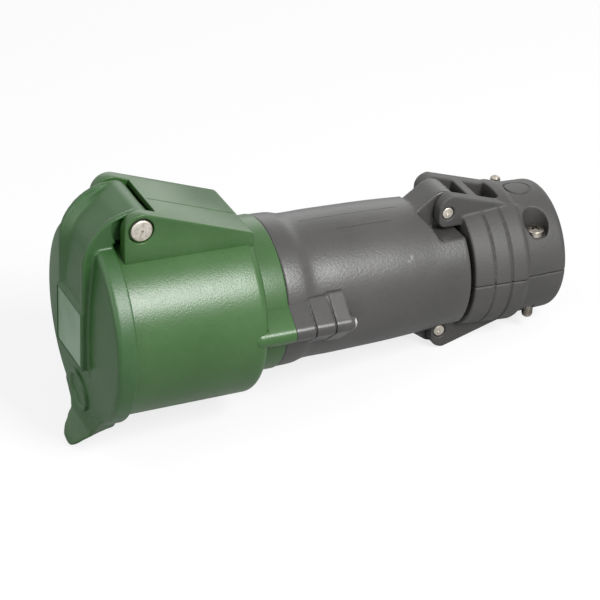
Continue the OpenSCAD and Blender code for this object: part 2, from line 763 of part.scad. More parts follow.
// One contact: a slotted sleeve in front and a terminal with a wire hole behind
module contact(i) color(is_earth(i) ? "#b9b57c" : brass) {
    at_contact(i)
        difference() {
            union() {
                bar_x(contact_front_x + seat_play, terminal_x + over, sleeve_r(i), small_fn);
                bar_x(terminal_x + seat_play, contact_rear_x, terminal_r(i), small_fn);
            }
            bar_x(contact_front_x - over, contact_front_x + sleeve_depth,
                contact_pin_r(i) + pin_play, small_fn);
            bar_x(contact_rear_x - wire_depth, contact_rear_x + over, wire_r, small_fn);
            block([contact_front_x - over, -sleeve_slot / 2, -2 * sleeve_r(i)],
                [contact_front_x + 0.7 * sleeve_depth, sleeve_slot / 2, 2 * sleeve_r(i)]);
            translate([terminal_screw_x, 0, 0])
                cylinder(h = 2 * terminal_r(i), r = terminal_screw_r + turn_play, $fn = small_fn);
        }
}

module contact_l1() { contact(0); }
module contact_l2() { contact(1); }
module contact_l3() { contact(2); }
module contact_neutral() { contact(3); }
module contact_earth() { contact(4); }

module terminal_screws() color(steel) {
    screw_len = contact_inset - wire_r + seat_play;
    for (i = [0:4])
        at_contact(i)
            translate([terminal_screw_x, 0, wire_r - 2 * seat_play])
                difference() {
                    cylinder(h = screw_len, r = terminal_screw_r, $fn = small_fn);
                    block([-sleeve_slot / 2, -2 * terminal_screw_r, 0.7 * screw_len],
                        [sleeve_slot / 2, 2 * terminal_screw_r, screw_len + over]);
                }
}

module head_seal() color(rubber) {
    rotate([0, 90, 0])
        translate([0, 0, seal_x])
            rotate_extrude($fn = part_fn)
                translate([(seal_groove_r + collar_bore_r) / 2, 0])
                    circle(r = (collar_bore_r - seal_groove_r) / 2 - turn_play / 2, $fn = small_fn);
}

// Outline of the handle: spigot, grip and gland end
function handle_outline() =
    let (grip = handle_end_x - handle_front_x,
         groove_half = seal_r + seat_play,
         cone_x = gland_x - handle_wall - (waist_r - handle_wall - throat_r))
    [[spigot_front_x, spigot_r - bevel], [spigot_front_x + bevel, spigot_r],
     [seal_x - groove_half, spigot_r], [seal_x - groove_half, seal_groove_r],
     [seal_x + groove_half, seal_groove_r], [seal_x + groove_half, spigot_r],
     [handle_front_x, spigot_r], [handle_front_x, handle_front_r - bevel / 2],
     [handle_front_x + bevel / 2, handle_front_r],
     [handle_front_x + 0.09 * grip, handle_front_r],
     [handle_front_x + 0.15 * grip, handle_front_r - 0.55 * (handle_front_r - waist_r)],
     [handle_front_x + 0.20 * grip, waist_r],
     [handle_front_x + 0.40 * grip, waist_r - 0.15 * (waist_r - handle_rear_r)],
     [handle_front_x + 0.61 * grip, waist_r - 0.35 * (waist_r - handle_rear_r)],
     [handle_front_x + 0.74 * grip, waist_r - 0.62 * (waist_r - handle_rear_r)],
     [handle_front_x + 0.83 * grip, waist_r - 0.88 * (waist_r - handle_rear_r)],
     [handle_end_x - bevel / 2, handle_rear_r], [handle_end_x, handle_rear_r - bevel / 2],
     [handle_end_x, gland_r], [gland_x, gland_r], [gland_x, throat_r],
     [gland_x - handle_wall, throat_r], [cone_x, waist_r - handle_wall - 0.4 * corner],
     [handle_front_x + 2 * handle_wall, waist_r - handle_wall],
     [handle_front_x, spigot_bore_r], [spigot_front_x, spigot_bore_r]];

// Side view of a pivot lug: a ramp that runs up to a round knuckle
function lug_outline() =
    let (foot_x = pivot_x - 1.7 * lug_r, lean = asin(lug_r / (pivot_x - foot_x)))
    concat(
        [[foot_x, pocket_z - corner], [foot_x, pivot_z]],
        arc([pivot_x, pivot_z], lug_r, 90 + lean, 0, 10),
        [[pivot_x + lug_r, pivot_z], [handle_end_x, pocket_z - corner]]);

// The pocket round the arms, seen from above
function pocket_outline() =
    let (wide_x = pivot_x - 0.85 * lug_r, tight_x = pivot_x - 1.6 * lug_r)
    [[tight_x, -lug_half], [wide_x, -pocket_half], [handle_end_x + over, -pocket_half],
     [handle_end_x + over, pocket_half], [wide_x, pocket_half], [tight_x, lug_half]];

module pocket_cut() {
    translate([0, 0, pocket_z])
        linear_extrude(height = 2 * lug_r)
            polygon(pocket_outline());
}

module pivot_lug() {
    difference() {
        side_slab(lug_outline(), -lug_half, lug_half);
        bar_x(0, handle_end_x + over, pocket_z - corner, part_fn);
        bar_y(pivot_x, pivot_z, -lug_half - over, lug_half + over, pivot_r + turn_play);
    }
}

// Hollows in the thick gland end, one on each side, open to the rear
module gland_core(side) {
    core_len = 0.7 * (handle_end_x - gland_x);
    core_wall = handle_wall - bevel;
    intersection() {
        turned([[handle_end_x - core_len, gland_r + core_wall],
            [handle_end_x - core_len, handle_rear_r - core_wall],
            [handle_end_x + over, handle_rear_r - core_wall],
            [handle_end_x + over, gland_r + core_wall]]);
        block([gland_x, side > 0 ? gland_r : -2 * gland_r, -gland_r],
            [handle_end_x + 2 * over, side > 0 ? 2 * gland_r : -gland_r, gland_r]);
    }
}

module handle_body() color(grey) {
    difference() {
        union() {
            difference() {
                turned(handle_outline());
                pocket_cut();
                mirror([0, 0, 1])
                    pocket_cut();
                gland_core(1);
                gland_core(-1);
            }
            pivot_lug();
            mirror([0, 0, 1])
                pivot_lug();
            handle_rib();
        }
        bar_x(gland_x, handle_end_x + over, gland_r, part_fn);
    }
}

// The rib's grey steps, each with a groove at its front
module handle_rib() {
    start_x = handle_front_x;
    difference() {
        union() {
            for (i = [0:rib_steps - 1])
                rib_stretch(start_x + i * rib_step_len, start_x + (i + 1) * rib_step_len - seat_play * i,
                    rib_half, rib_foot + i * rib_foot * 0.09);
            bar_y(rib_end_x - 0.55 * rib_half, 0, -rib_y + bevel, -waist_r + bevel, rib_half);
            bar_y(rib_end_x - 0.55 * rib_half, 0, -rib_y, -waist_r + bevel, rib_half - bevel);
        }
        bar_x(0, rib_end_x + over, waist_r - handle_wall / 2, shell_fn);
        for (i = [1:rib_steps - 1])
            translate([start_x + i * rib_step_len, 0, 0])
                rib_groove_cut();
    }
}

module rib_groove_cut() {
    foot = 1.4 * rib_foot;
    difference() {
        block([-rib_groove / 2, -rib_y - over, -foot], [rib_groove / 2, -waist_r + 2 * bevel, foot]);
        translate([-rib_groove, 0, 0])
            rotate([90, 0, 90])
                linear_extrude(height = 2 * rib_groove)
                    polygon([[-rib_y + rib_groove_depth, rib_half - rib_groove_depth / 2],
                        [-waist_r + rib_groove_depth, rib_foot - rib_groove_depth / 2],
                        [0, rib_foot - rib_groove_depth / 2],
                        [0, -rib_foot + rib_groove_depth / 2],
                        [-waist_r + rib_groove_depth, -rib_foot + rib_groove_depth / 2],
                        [-rib_y + rib_groove_depth, -rib_half + rib_groove_depth / 2]]);
    }
}

module cable_seal() color(rubber) {
    outer_r = gland_r - seat_play;
    lead = corner;
    turned([[gland_x + seat_play, cable_seal_bore_r + lead],
        [gland_x + seat_play, outer_r - lead], [gland_x + seat_play + lead, outer_r],
        [jaw_x - 3 * seat_play, outer_r], [jaw_x - 3 * seat_play, cable_seal_bore_r + lead],
        [jaw_x - 3 * seat_play - lead, cable_seal_bore_r],
        [gland_x + seat_play + lead, cable_seal_bore_r]], part_fn);
}

// Outer line of a jaw, front to rear
function jaw_line() =
    let (rise = ring_r - ring_front_r)
    concat(
        [[jaw_x, ring_front_r - bevel / 2], [jaw_x + bevel / 2, ring_front_r]],
        ring_groove_points(0.36, ring_front_r + 0.4 * rise),
        ring_groove_points(0.67, ring_front_r + 0.75 * rise),
        [[ring_end_x - 1.2 * corner, ring_r], [ring_end_x - 0.4 * corner, ring_r - 0.3 * corner],
         [ring_end_x, ring_r - corner], [ring_end_x + 0.3 * corner, barrel_r - 0.3 * bevel]],
        [[ring_end_x + corner, barrel_r - 0.4 * bevel]],
        arc([jaw_end_x - tail_round, tail_r - tail_round], tail_round, 90, 0, 6));

function ring_groove_points(share, r) =
    let (x = jaw_x + share * ring_len)
    [[x - ring_groove / 2, r], [x - ring_groove / 4, r - ring_groove_depth],
     [x + ring_groove / 4, r - ring_groove_depth], [x + ring_groove / 2, r]];

// Inner line of a jaw, rear to front: mouth, saddle with teeth, hollow and front web
function jaw_inner() =
    let (teeth = 3, pitch = saddle_len / teeth, mouth = 1.4 * saddle_r)
    concat(
        [[jaw_end_x, mouth], [jaw_end_x - jaw_wall, mouth - corner]],
        [for (i = [0:teeth - 1])
            for (p = [[0.1, 0], [0.7, 0], [0.75, 0.8], [0.95, 0.8]])
                [saddle_x + saddle_len - (i + p[0]) * pitch, saddle_r + p[1]]],
        [[saddle_x, saddle_r], [saddle_x, tail_r - jaw_wall], [jaw_x + jaw_wall, ring_front_r - jaw_wall],
         [jaw_x + jaw_wall, mouth], [jaw_x, mouth]]);

// Side view of a pivot arm: rounded nose, sloping top, down into the ring zone
function arms_outline() =
    let (nose_x = pivot_x - arms_nose, low_r = 0.75 * arms_nose, top_r = arms_round,
         end_x = pivot_x + (arms_top - arms_low) / tan(arms_slope))
    concat(
        arc([nose_x + low_r, arms_low + low_r], low_r, 270, 180, 5),
        arc([nose_x + top_r, arms_top - top_r], top_r, 180, 90, 8),
        [[pivot_x + arms_nose / 2, arms_top]],
        [[end_x, arms_low], [end_x, pocket_z], [jaw_x, pocket_z], [jaw_x, arms_low]]);

module jaw_arms() {
    for (side = [-1, 1])
        side_slab(arms_outline(), side > 0 ? arms_inner : -arms_half,
            side > 0 ? arms_half : -arms_inner);
    // Crossbar between the two arms
    intersection() {
        side_slab(arms_outline(), -arms_inner - bevel, arms_inner + bevel);
        block([crossbar_x, -arms_inner - bevel, pocket_z],
            [crossbar_x + crossbar_len, arms_inner + bevel, arms_top]);
    }
    intersection() {
        side_slab(arms_outline(), -arms_inner - bevel, arms_inner + bevel);
        block([ring_end_x - 2 * corner - crossbar_len / 2, -arms_inner - bevel, pocket_z],
            [jaw_end_x, arms_inner + bevel, arms_top]);
    }
}

// Boss round a clamp screw, from the split up to the jaw's outer face
module screw_boss(side) {
    intersection() {
        translate([clamp_screw_x, side * clamp_screw_y, jaw_split / 2])
            cylinder(h = 2 * ring_r, r = clamp_pocket_r + 0.6 * jaw_wall, $fn = small_fn);
        turned(concat([[jaw_x, 0]], jaw_line(), [[jaw_end_x, 0]]));
        block([saddle_x, -ring_r, 0], [jaw_end_x - jaw_wall / 2, ring_r, ring_r]);
    }
}

// One jaw as it lies on top; the pivot pin's head is at the side that is asked for
module jaw_half(head_side) {
    difference() {
        union() {
            turned(concat(jaw_line(), jaw_inner()));
            jaw_arms();
            screw_boss(-1);
            screw_boss(1);
        }
        // Everything below the split
        block([pivot_x - 2 * lug_r, -2 * ring_r, -2 * ring_r],
            [jaw_end_x + over, 2 * ring_r, jaw_split / 2]);
        // Openings between the arms, in front of and behind the crossbar
        block([jaw_x - over, -arms_inner, pocket_z - corner],
            [crossbar_x, arms_inner, arms_top + over]);
        block([crossbar_x + crossbar_len, -arms_inner, pocket_z + 2 * corner],
            [ring_end_x - 2 * corner - crossbar_len / 2, arms_inner, arms_top + over]);
        // Pivot bore and the recess of the pin's head
        mirror([0, head_side > 0 ? 1 : 0, 0]) {
            bar_y(pivot_x, pivot_z, -arms_half - over, pivot_end_y() + 3 * seat_play,
                pivot_r + turn_play);
            bar_y(pivot_x, pivot_z, -arms_half - over,
                pivot_head_y() + pivot_head_t + seat_play, pivot_head_r + 3 * seat_play);
        }
        // Near side: the screw's clearance hole and the pocket of its head
        translate([clamp_screw_x, -clamp_screw_y, -over])
            cylinder(h = clamp_seat_z + 2 * over, r = clamp_screw_r + 4 * seat_play,
                $fn = small_fn);
        translate([clamp_screw_x, -clamp_screw_y, clamp_seat_z])
            cylinder(h = ring_r, r = clamp_pocket_r, $fn = small_fn);
        // Far side: the hole that the other screw's thread bites into
        translate([clamp_screw_x, clamp_screw_y, -over])
            cylinder(h = ring_r, r = clamp_screw_r + turn_play, $fn = small_fn);
    }
}

module upper_jaw() color(grey) {
    jaw_half(-1);
}

module lower_jaw() color(grey) {
    rotate([180, 0, 0])
        jaw_half(1);
}

function pivot_head_y() = -arms_half + pivot_sink;
function pivot_end_y() = arms_half - corner;

module pivot_pin(z) color(steel) {
    head_y = pivot_head_y();
    difference() {
        union() {
            bar_y(pivot_x, z, head_y, head_y + pivot_head_t, pivot_head_r);
            bar_y(pivot_x, z, head_y, pivot_end_y(), pivot_r);
        }
        translate([pivot_x, head_y + 0.6 * pivot_head_t, z])
            rotate([90, 0, 0])
                cylinder(h = pivot_head_t, r = 0.4 * pivot_head_r, $fn = 6);
    }
}

module upper_pivot_pin() { pivot_pin(pivot_z); }
module lower_pivot_pin() { pivot_pin(-pivot_z); }

// A clamp screw with its head up: domed head with a cross, plain shank, bevelled tip
module clamp_screw() color(steel) {
    tip_z = -sqrt(tail_r * tail_r - clamp_screw_y * clamp_screw_y) - clamp_tip;
    cross_w = 0.28 * clamp_head_r;
    cross_len = 1.2 * clamp_head_r;
    difference() {
        translate([clamp_screw_x, -clamp_screw_y, 0])
            rotate_extrude($fn = small_fn)
                polygon([[0, tip_z], [0.75 * clamp_screw_r, tip_z],
                    [clamp_screw_r, tip_z + 0.4 * clamp_screw_r], [clamp_screw_r, clamp_seat_z],
                    [clamp_head_r, clamp_seat_z], [clamp_head_r, clamp_seat_z + 0.5 * clamp_head_t],
                    [0.8 * clamp_head_r, clamp_seat_z + 0.85 * clamp_head_t],
                    [0.4 * clamp_head_r, clamp_seat_z + clamp_head_t],
                    [0, clamp_seat_z + clamp_head_t]]);
        for (turn = [0, 90])
            translate([clamp_screw_x, -clamp_screw_y, clamp_seat_z + 0.45 * clamp_head_t])
                rotate([0, 0, turn + 30])
                    block([-cross_len / 2, -cross_w / 2, 0],
                        [cross_len / 2, cross_w / 2, clamp_head_t]);
    }
}

module near_clamp_screw() {
    clamp_screw();
}

module far_clamp_screw() {
    rotate([180, 0, 0])
        clamp_screw();
}

front_housing();
flap_lid();
lid_gasket();
rating_plate();
hinge_pin();
hinge_nut();
lid_spring();
contact_insert();
insert_back();
insert_screw();
contact_l1();
contact_l2();
contact_l3();
contact_neutral();
contact_earth();
terminal_screws();
head_seal();
handle_body();
cable_seal();
upper_jaw();
lower_jaw();
upper_pivot_pin();
lower_pivot_pin();
near_clamp_screw();
far_clamp_screw();
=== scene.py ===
import logging
from dataclasses import dataclass, field
from enum import Enum
from math import asin, atan2, cos, degrees, pi, radians, sin, sqrt, tan

import bpy
from mathutils import Matrix, Vector


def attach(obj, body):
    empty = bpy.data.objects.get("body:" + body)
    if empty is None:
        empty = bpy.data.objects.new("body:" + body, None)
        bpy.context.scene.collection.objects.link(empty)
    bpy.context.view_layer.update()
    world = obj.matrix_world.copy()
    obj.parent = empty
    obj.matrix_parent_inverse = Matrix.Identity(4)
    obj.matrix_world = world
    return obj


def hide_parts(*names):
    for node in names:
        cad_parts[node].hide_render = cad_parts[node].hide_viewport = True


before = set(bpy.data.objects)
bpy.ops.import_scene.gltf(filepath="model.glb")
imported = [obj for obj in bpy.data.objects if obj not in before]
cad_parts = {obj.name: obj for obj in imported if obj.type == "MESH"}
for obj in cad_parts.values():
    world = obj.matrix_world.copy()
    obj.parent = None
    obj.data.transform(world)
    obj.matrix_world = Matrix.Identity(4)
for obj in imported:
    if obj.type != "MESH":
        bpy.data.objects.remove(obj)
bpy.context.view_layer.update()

logging.basicConfig(level=logging.INFO, format="%(message)s")
LOG = logging.getLogger("coupler")

# One millimetre in the scene's metres: every size below is in millimetres
MM = 0.001
# Shared: the lid's hinge and the jaws' upper pivot, as (x, z), the radii of their bores, and
# the reach of a tool that cuts right past the part
HINGE = (14.4, 48.3)
PIVOT = (155.0, 28.4)
HINGE_BORE_R = 2.56
PIVOT_BORE_R = 2.06
PAST = 45.0
ORIGIN = (0, 0, 0)
Point = tuple[float, float]
Place = tuple[float, float, float]
Solid = bpy.types.Object
Tree = bpy.types.NodeTree
Node = bpy.types.Node
Socket = bpy.types.NodeSocket


class Cut(Enum):
    """How one solid is combined with another."""

    AWAY = "DIFFERENCE"
    ADD = "UNION"
    KEEP = "INTERSECT"


class Along(Enum):
    """The axis that an outline is extruded along; it is drawn in the other two."""

    X = 0
    Y = 1
    Z = 2


class Body(Enum):
    """The two bodies that move against each other."""

    COUPLER = "coupler"
    LID = "lid"


# ---- modelling by operators


def clear_selection() -> None:
    """Leaves edit mode and deselects every object."""
    if bpy.context.mode != "OBJECT":
        bpy.ops.object.mode_set(mode="OBJECT")
    bpy.ops.object.select_all(action="DESELECT")


def take(piece: Solid) -> None:
    """Makes a piece the only selected and active one.

    Args:
        piece: The piece.
    """
    clear_selection()
    piece.select_set(True)
    bpy.context.view_layer.objects.active = piece


def edit(piece: Solid, mode: str = "VERT") -> None:
    """Enters edit mode on a piece with all of it selected.

    Args:
        piece: The piece to edit.
        mode: VERT or FACE.
    """
    take(piece)
    bpy.ops.object.mode_set(mode="EDIT")
    bpy.ops.mesh.select_mode(type=mode)
    bpy.ops.mesh.select_all(action="SELECT")


def settle(piece: Solid) -> Solid:
    """Puts a piece's place into its mesh, so that its object sits at the origin.

    Args:
        piece: The piece to settle.

    Returns:
        The same piece.
    """
    take(piece)
    bpy.ops.object.transform_apply(location=True, rotation=True, scale=True)
    return piece


def rename(piece: Solid, name: str) -> Solid:
    """Names a piece and its mesh."""
    piece.name = piece.data.name = name
    return piece


def wire(name: str, points: list[Vector], closed: bool) -> Solid:
    """Draws a wire through points, one extruded vertex after another.

    Args:
        name: Name of the new piece.
        points: Its points, in millimetres.
        closed: Whether the last point joins the first and a face fills the loop.

    Returns:
        The piece.
    """
    clear_selection()
    places = [p * MM for p in points]
    bpy.ops.mesh.primitive_plane_add(size=MM, location=places[0])
    piece = settle(rename(bpy.context.object, name))
    edit(piece)
    bpy.ops.mesh.merge(type="CENTER")
    for here, there in zip(places, places[1:]):
        bpy.ops.mesh.extrude_region_move(TRANSFORM_OT_translate={"value": there - here})
    if closed:
        bpy.ops.mesh.select_all(action="SELECT")
        bpy.ops.mesh.edge_face_add()
    bpy.ops.object.mode_set(mode="OBJECT")
    return piece


def outward(piece: Solid) -> Solid:
    """Merges doubled points and turns every face outwards.

    Args:
        piece: The piece.

    Returns:
        The same piece.
    """
    edit(piece)
    bpy.ops.mesh.remove_doubles(threshold=0.0005 * MM)
    bpy.ops.mesh.normals_make_consistent(inside=False)
    bpy.ops.object.mode_set(mode="OBJECT")
    return piece


def lathe(name: str, outline: list[Point], steps: int) -> Solid:
    """Spins a closed outline about the coupler axis.

    Args:
        name: Name of the new piece.
        outline: Points as (x, radius), in millimetres.
        steps: Faces round the axis.

    Returns:
        The turned piece.
    """
    on_axis = min(r for _, r in outline) <= 0.001
    loop = outline + ([] if on_axis else [outline[0]])
    piece = wire(name, [Vector((x, 0, r)) for x, r in loop], False)
    edit(piece)
    bpy.ops.mesh.spin(steps=steps, angle=2 * pi, center=ORIGIN, axis=(1, 0, 0))
    return outward(piece)


def extrude(name: str, outline: list[Point], along: Along, start: float, end: float) -> Solid:
    """Extrudes an outline along one axis.

    Args:
        name: Name of the new piece.
        outline: Points in the other two axes, in millimetres.
        along: The axis.
        start: Where the solid starts on it.
        end: Where it ends.

    Returns:
        The solid.
    """
    axis, shift = along.value, [0.0, 0.0, 0.0]
    shift[axis] = (end - start) * MM
    piece = wire(name, [Vector((*p[:axis], start, *p[axis:])) for p in outline], True)
    edit(piece, "FACE")
    bpy.ops.mesh.extrude_region_move(TRANSFORM_OT_translate={"value": tuple(shift)})
    return outward(piece)


def block(name: str, low: Place, high: Place) -> Solid:
    """Makes a block between two corners, for use as a tool or a start."""
    (x0, y0, z0), (x1, y1, z1) = low, high
    return extrude(name, [(x0, y0), (x1, y0), (x1, y1), (x0, y1)], Along.Z, z0, z1)


def rod(name: str, start: Place, end: Place, radius: float, sides: int = 48) -> Solid:
    """Makes a round rod between two points, as a tool or a start.

    Args:
        name: Name of the new piece.
        start: One end's centre, in millimetres.
        end: The other end's centre.
        radius: Its radius.
        sides: Faces round it.

    Returns:
        The rod.
    """
    clear_selection()
    a, b = Vector(start), Vector(end)
    turn = (b - a).to_track_quat("Z", "Y").to_euler()
    bpy.ops.mesh.primitive_cylinder_add(vertices=sides, radius=radius * MM,
                                        depth=(b - a).length * MM,
                                        location=(a + b) / 2 * MM, rotation=turn)
    return settle(rename(bpy.context.object, name))


def modify(piece: Solid, kind: str, **settings: object) -> None:
    """Adds a modifier to a piece and applies it.

    Args:
        piece: The piece.
        kind: The modifier's type.
        settings: Its settings.
    """
    take(piece)
    step = piece.modifiers.new(kind.lower(), kind)
    for name, value in settings.items():
        setattr(step, name, value)
    bpy.ops.object.modifier_apply(modifier=step.name)


def combine(piece: Solid, tool: Solid, how: Cut) -> Solid:
    """Combines a solid with a tool, which is used up.

    Args:
        piece: The solid that stays.
        tool: The solid that cuts it or joins it.
        how: The kind of combination.

    Returns:
        The changed piece.
    """
    modify(piece, "BOOLEAN", operation=how.value, object=tool, solver="EXACT")
    bpy.data.objects.remove(tool, do_unlink=True)
    return piece


def cut(piece: Solid, tool: Solid) -> Solid:
    """Cuts a tool away from a piece."""
    return combine(piece, tool, Cut.AWAY)


def add(piece: Solid, tool: Solid) -> Solid:
    """Adds a solid to a piece."""
    return combine(piece, tool, Cut.ADD)


def copy_of(piece: Solid, name: str) -> Solid:
    """Copies a piece with a mesh of its own.

    Args:
        piece: The piece.
        name: Name of the copy.

    Returns:
        The copy.
    """
    twin = piece.copy()
    twin.data = piece.data.copy()
    bpy.context.collection.objects.link(twin)
    return rename(twin, name)


def smooth(piece: Solid, angle: float = 32) -> Solid:
    """Shades a piece smooth up to an angle.

    Args:
        piece: The piece.
        angle: Least angle of an edge that stays sharp, in degrees.

    Returns:
        The same piece.
    """
    take(piece)
    bpy.ops.object.shade_smooth_by_angle(angle=radians(angle))
    return piece


def mould(piece: Solid, grain: float, rounds: int, share: float = 0.5,
          kept: float = 1.0) -> None:
    """Melts a piece's edges and joints together, as a moulding's are.

    Args:
        piece: The piece, one closed shell or several that overlap.
        grain: Size of the faces it is rebuilt with, in millimetres.
        rounds: How often it is smoothed: more rounds give wider roundings.
        share: How far each round moves a point.
        kept: Share of its triangles that is kept at the end.
    """
    modify(piece, "REMESH", mode="VOXEL", voxel_size=grain * MM, adaptivity=0.0)
    modify(piece, "SMOOTH", factor=share, iterations=rounds)
    if kept < 1:
        modify(piece, "DECIMATE", ratio=kept)
    bpy.ops.object.shade_smooth()


def arc(centre: Point, radius: float, start: float, end: float, steps: int) -> list[Point]:
    """Points of an arc from one angle to another, in degrees, with this many chords."""
    turns = [radians(start + (end - start) * i / steps) for i in range(steps + 1)]
    return [(centre[0] + radius * cos(t), centre[1] + radius * sin(t)) for t in turns]


def curve(knots: list[Point], steps: int = 4) -> list[Point]:
    """Runs a smooth curve through knots.

    Args:
        knots: The points that it passes.
        steps: Chords between two knots.

    Returns:
        Its points.
    """
    ends = [knots[0]] + knots + [knots[-1]]
    points = []
    for a, b, c, d in zip(ends, ends[1:], ends[2:], ends[3:]):
        for i in range(steps):
            s = i / steps
            points.append(tuple(
                0.5 * (2 * q + (r - p) * s + (2 * p - 5 * q + 4 * r - u) * s * s
                       + (3 * q - p - 3 * r + u) * s ** 3)
                for p, q, r, u in zip(a, b, c, d)))
    return points + [knots[-1]]


def lay(piece: Solid, place: Place, *turns: tuple[float, str]) -> Solid:
    """Turns and moves a piece, and keeps its object at the origin.

    Args:
        piece: The piece.
        place: Where its origin goes, in millimetres.
        turns: Turns about its origin as (radians, axis), the last of which comes first.

    Returns:
        The same piece.
    """
    move = Matrix.Translation(Vector(place) * MM)
    for angle, axis in turns:
        move = move @ Matrix.Rotation(angle, 4, axis)
    piece.matrix_world = move
    return outward(settle(piece))


# ---- finishes


def linear(code: str) -> tuple[float, float, float, float]:
    """Turns an sRGB hex value of six digits into an opaque linear colour."""
    parts = [int(code[i:i + 2], 16) / 255 for i in (0, 2, 4)]
    return (*(c / 12.92 if c <= 0.04045 else ((c + 0.055) / 1.055) ** 2.4 for c in parts), 1.0)


def put(tree: Tree, kind: str, inputs: dict | None = None, **settings: object) -> Node:
    """Adds a shader node with its settings and its inputs.

    Args:
        tree: The material's node tree.
        kind: The node's type, without the ShaderNode before it.
        inputs: Values, output sockets or nodes (their first socket), by input name or number.
        settings: Attributes of the node, or the places and colours of a ramp's stops.

    Returns:
        The node.
    """
    node = tree.nodes.new("ShaderNode" + kind)
    for name, value in settings.items():
        if name == "stops":
            for element, stop in zip(node.color_ramp.elements, value):
                element.position, element.color = stop
        else:
            setattr(node, name, value)
    for name, value in (inputs or {}).items():
        if isinstance(value, Node):
            value = value.outputs[0]
        if isinstance(value, Socket):
            tree.links.new(value, node.inputs[name])
        else:
            node.inputs[name].default_value = value
    return node


@dataclass(frozen=True)
class Finish:
    """What every finish shares: its name and its two colours, as sRGB hex values."""

    name: str
    colour: str
    second: str

    def make(self) -> bpy.types.Material:
        """Builds the material.

        Returns:
            The material.
        """
        material = bpy.data.materials.new(self.name)
        material.use_nodes = True
        tree = material.node_tree
        tree.nodes.clear()
        place = put(tree, "TexCoord").outputs["Object"]
        put(tree, "OutputMaterial", {"Surface": self.surface(tree, place)})
        return material

    def surface(self, tree: Tree, place: Socket) -> Node:
        """Adds the nodes of the surface, which each finish has its own of."""
        raise NotImplementedError


@dataclass(frozen=True)
class MouldedPolyamide(Finish):
    """Polyamide moulded in a spark-eroded tool: satin, with a fine pebbled grain.

    The grain breaks a highlight's edge into sparkle, and handling leaves faint pale scuffs.
    """

    roughness: float = 0.42
    # Real grain is about 0.15 mm. It is drawn coarser, the finest that shows in the render
    grain_mm: float = 0.5
    grain_depth: float = 0.2
    scuffs: float = 0.25
    # Radius of the soft edges that every moulding has
    edge_mm: float = 0.4
    # Whitened knocks, and painted highlights where a rounded edge catches the light, each as (x,
    # y, z, radius) in millimetres
    knocks_and_glints: tuple[tuple[float, float, float, float], ...] = ()
    knock_and_glint_depth: float = 0.3
    knock_and_glint_colour: str = "E2E1DD"
    # Sizes of the pigment's slow drift, of its mottle and of the scuffs' streaks
    drift_mm: float = 40
    mottle_mm: float = 3
    streak_mm: float = 5

    def surface(self, tree: Tree, place: Socket) -> Node:
        """Adds the nodes of the surface.

        Args:
            tree: The material's node tree.
            place: The Object coordinates.

        Returns:
            The shader node.
        """
        drift, mottle, grain = (
            put(tree, "TexNoise", {"Vector": place, "Scale": 1 / (size * MM), "Detail": detail,
                                   "Roughness": rough})
            for size, detail, rough in ((self.drift_mm, 3.0, 0.5), (self.mottle_mm, 4.0, 0.6),
                                        (self.grain_mm, 2.0, 0.55)))
        pale = linear(self.second)
        mixed = put(tree, "Math", {0: mottle, 1: 0.25, 2: drift}, operation="MULTIPLY_ADD")
        tint = put(tree, "ValToRGB", {0: mixed},
                   stops=((0.45, linear(self.colour)), (0.9, pale)))
        # Scuffs: long stretched noise, of which only the peaks show as faint streaks
        turned = put(tree, "Mapping", {"Vector": place, "Scale": (0.25, 1, 1),
                                       "Rotation": (0.3, 0.5, 0.9)})
        streak = put(tree, "TexNoise", {"Vector": turned, "Scale": 1 / (self.streak_mm * MM),
                                        "Detail": 6.0, "Roughness": 0.75})
        streak = put(tree, "MapRange", {0: streak, 1: 0.66, 2: 0.8, 3: 0.0, 4: self.scuffs})
        tint = put(tree, "Mix", {"Factor": streak, "A": tint, "B": pale},
                   data_type="RGBA").outputs["Result"]
        # Each spot mixes the colour towards white: real knocks from handling, and painted
        # highlights
        for x, y, z, radius in self.knocks_and_glints:
            away = put(tree, "VectorMath", {0: place, 1: (x * MM, y * MM, z * MM)},
                       operation="DISTANCE").outputs["Value"]
            # The mottle frays the edge of each knock and painted highlight
            r = radius * MM
            frayed = put(tree, "Math", {0: mottle, 1: -2.2 * r, 2: away},
                         operation="MULTIPLY_ADD")
            knock_and_glint = put(tree, "MapRange", {0: frayed, 1: -0.15 * r, 2: -0.75 * r, 3: 0.0,
                                           4: self.knock_and_glint_depth})
            tint = put(tree, "Mix", {"Factor": knock_and_glint, "A": tint,
                                     "B": linear(self.knock_and_glint_colour)},
                       data_type="RGBA").outputs["Result"]
        rough = put(tree, "MapRange", {0: mottle, 1: 0.3, 2: 0.7, 3: self.roughness - 0.015,
                                       4: self.roughness + 0.02})
        edge = put(tree, "Bevel", {"Radius": self.edge_mm * MM}, samples=6)
        bump = put(tree, "Bump", {"Height": grain, "Strength": self.grain_depth,
                                  "Distance": 0.25 * self.grain_mm * MM, "Normal": edge})
        return put(tree, "BsdfPrincipled", {"Base Color": tint, "Roughness": rough,
                                            "Normal": bump, "IOR": 1.53})


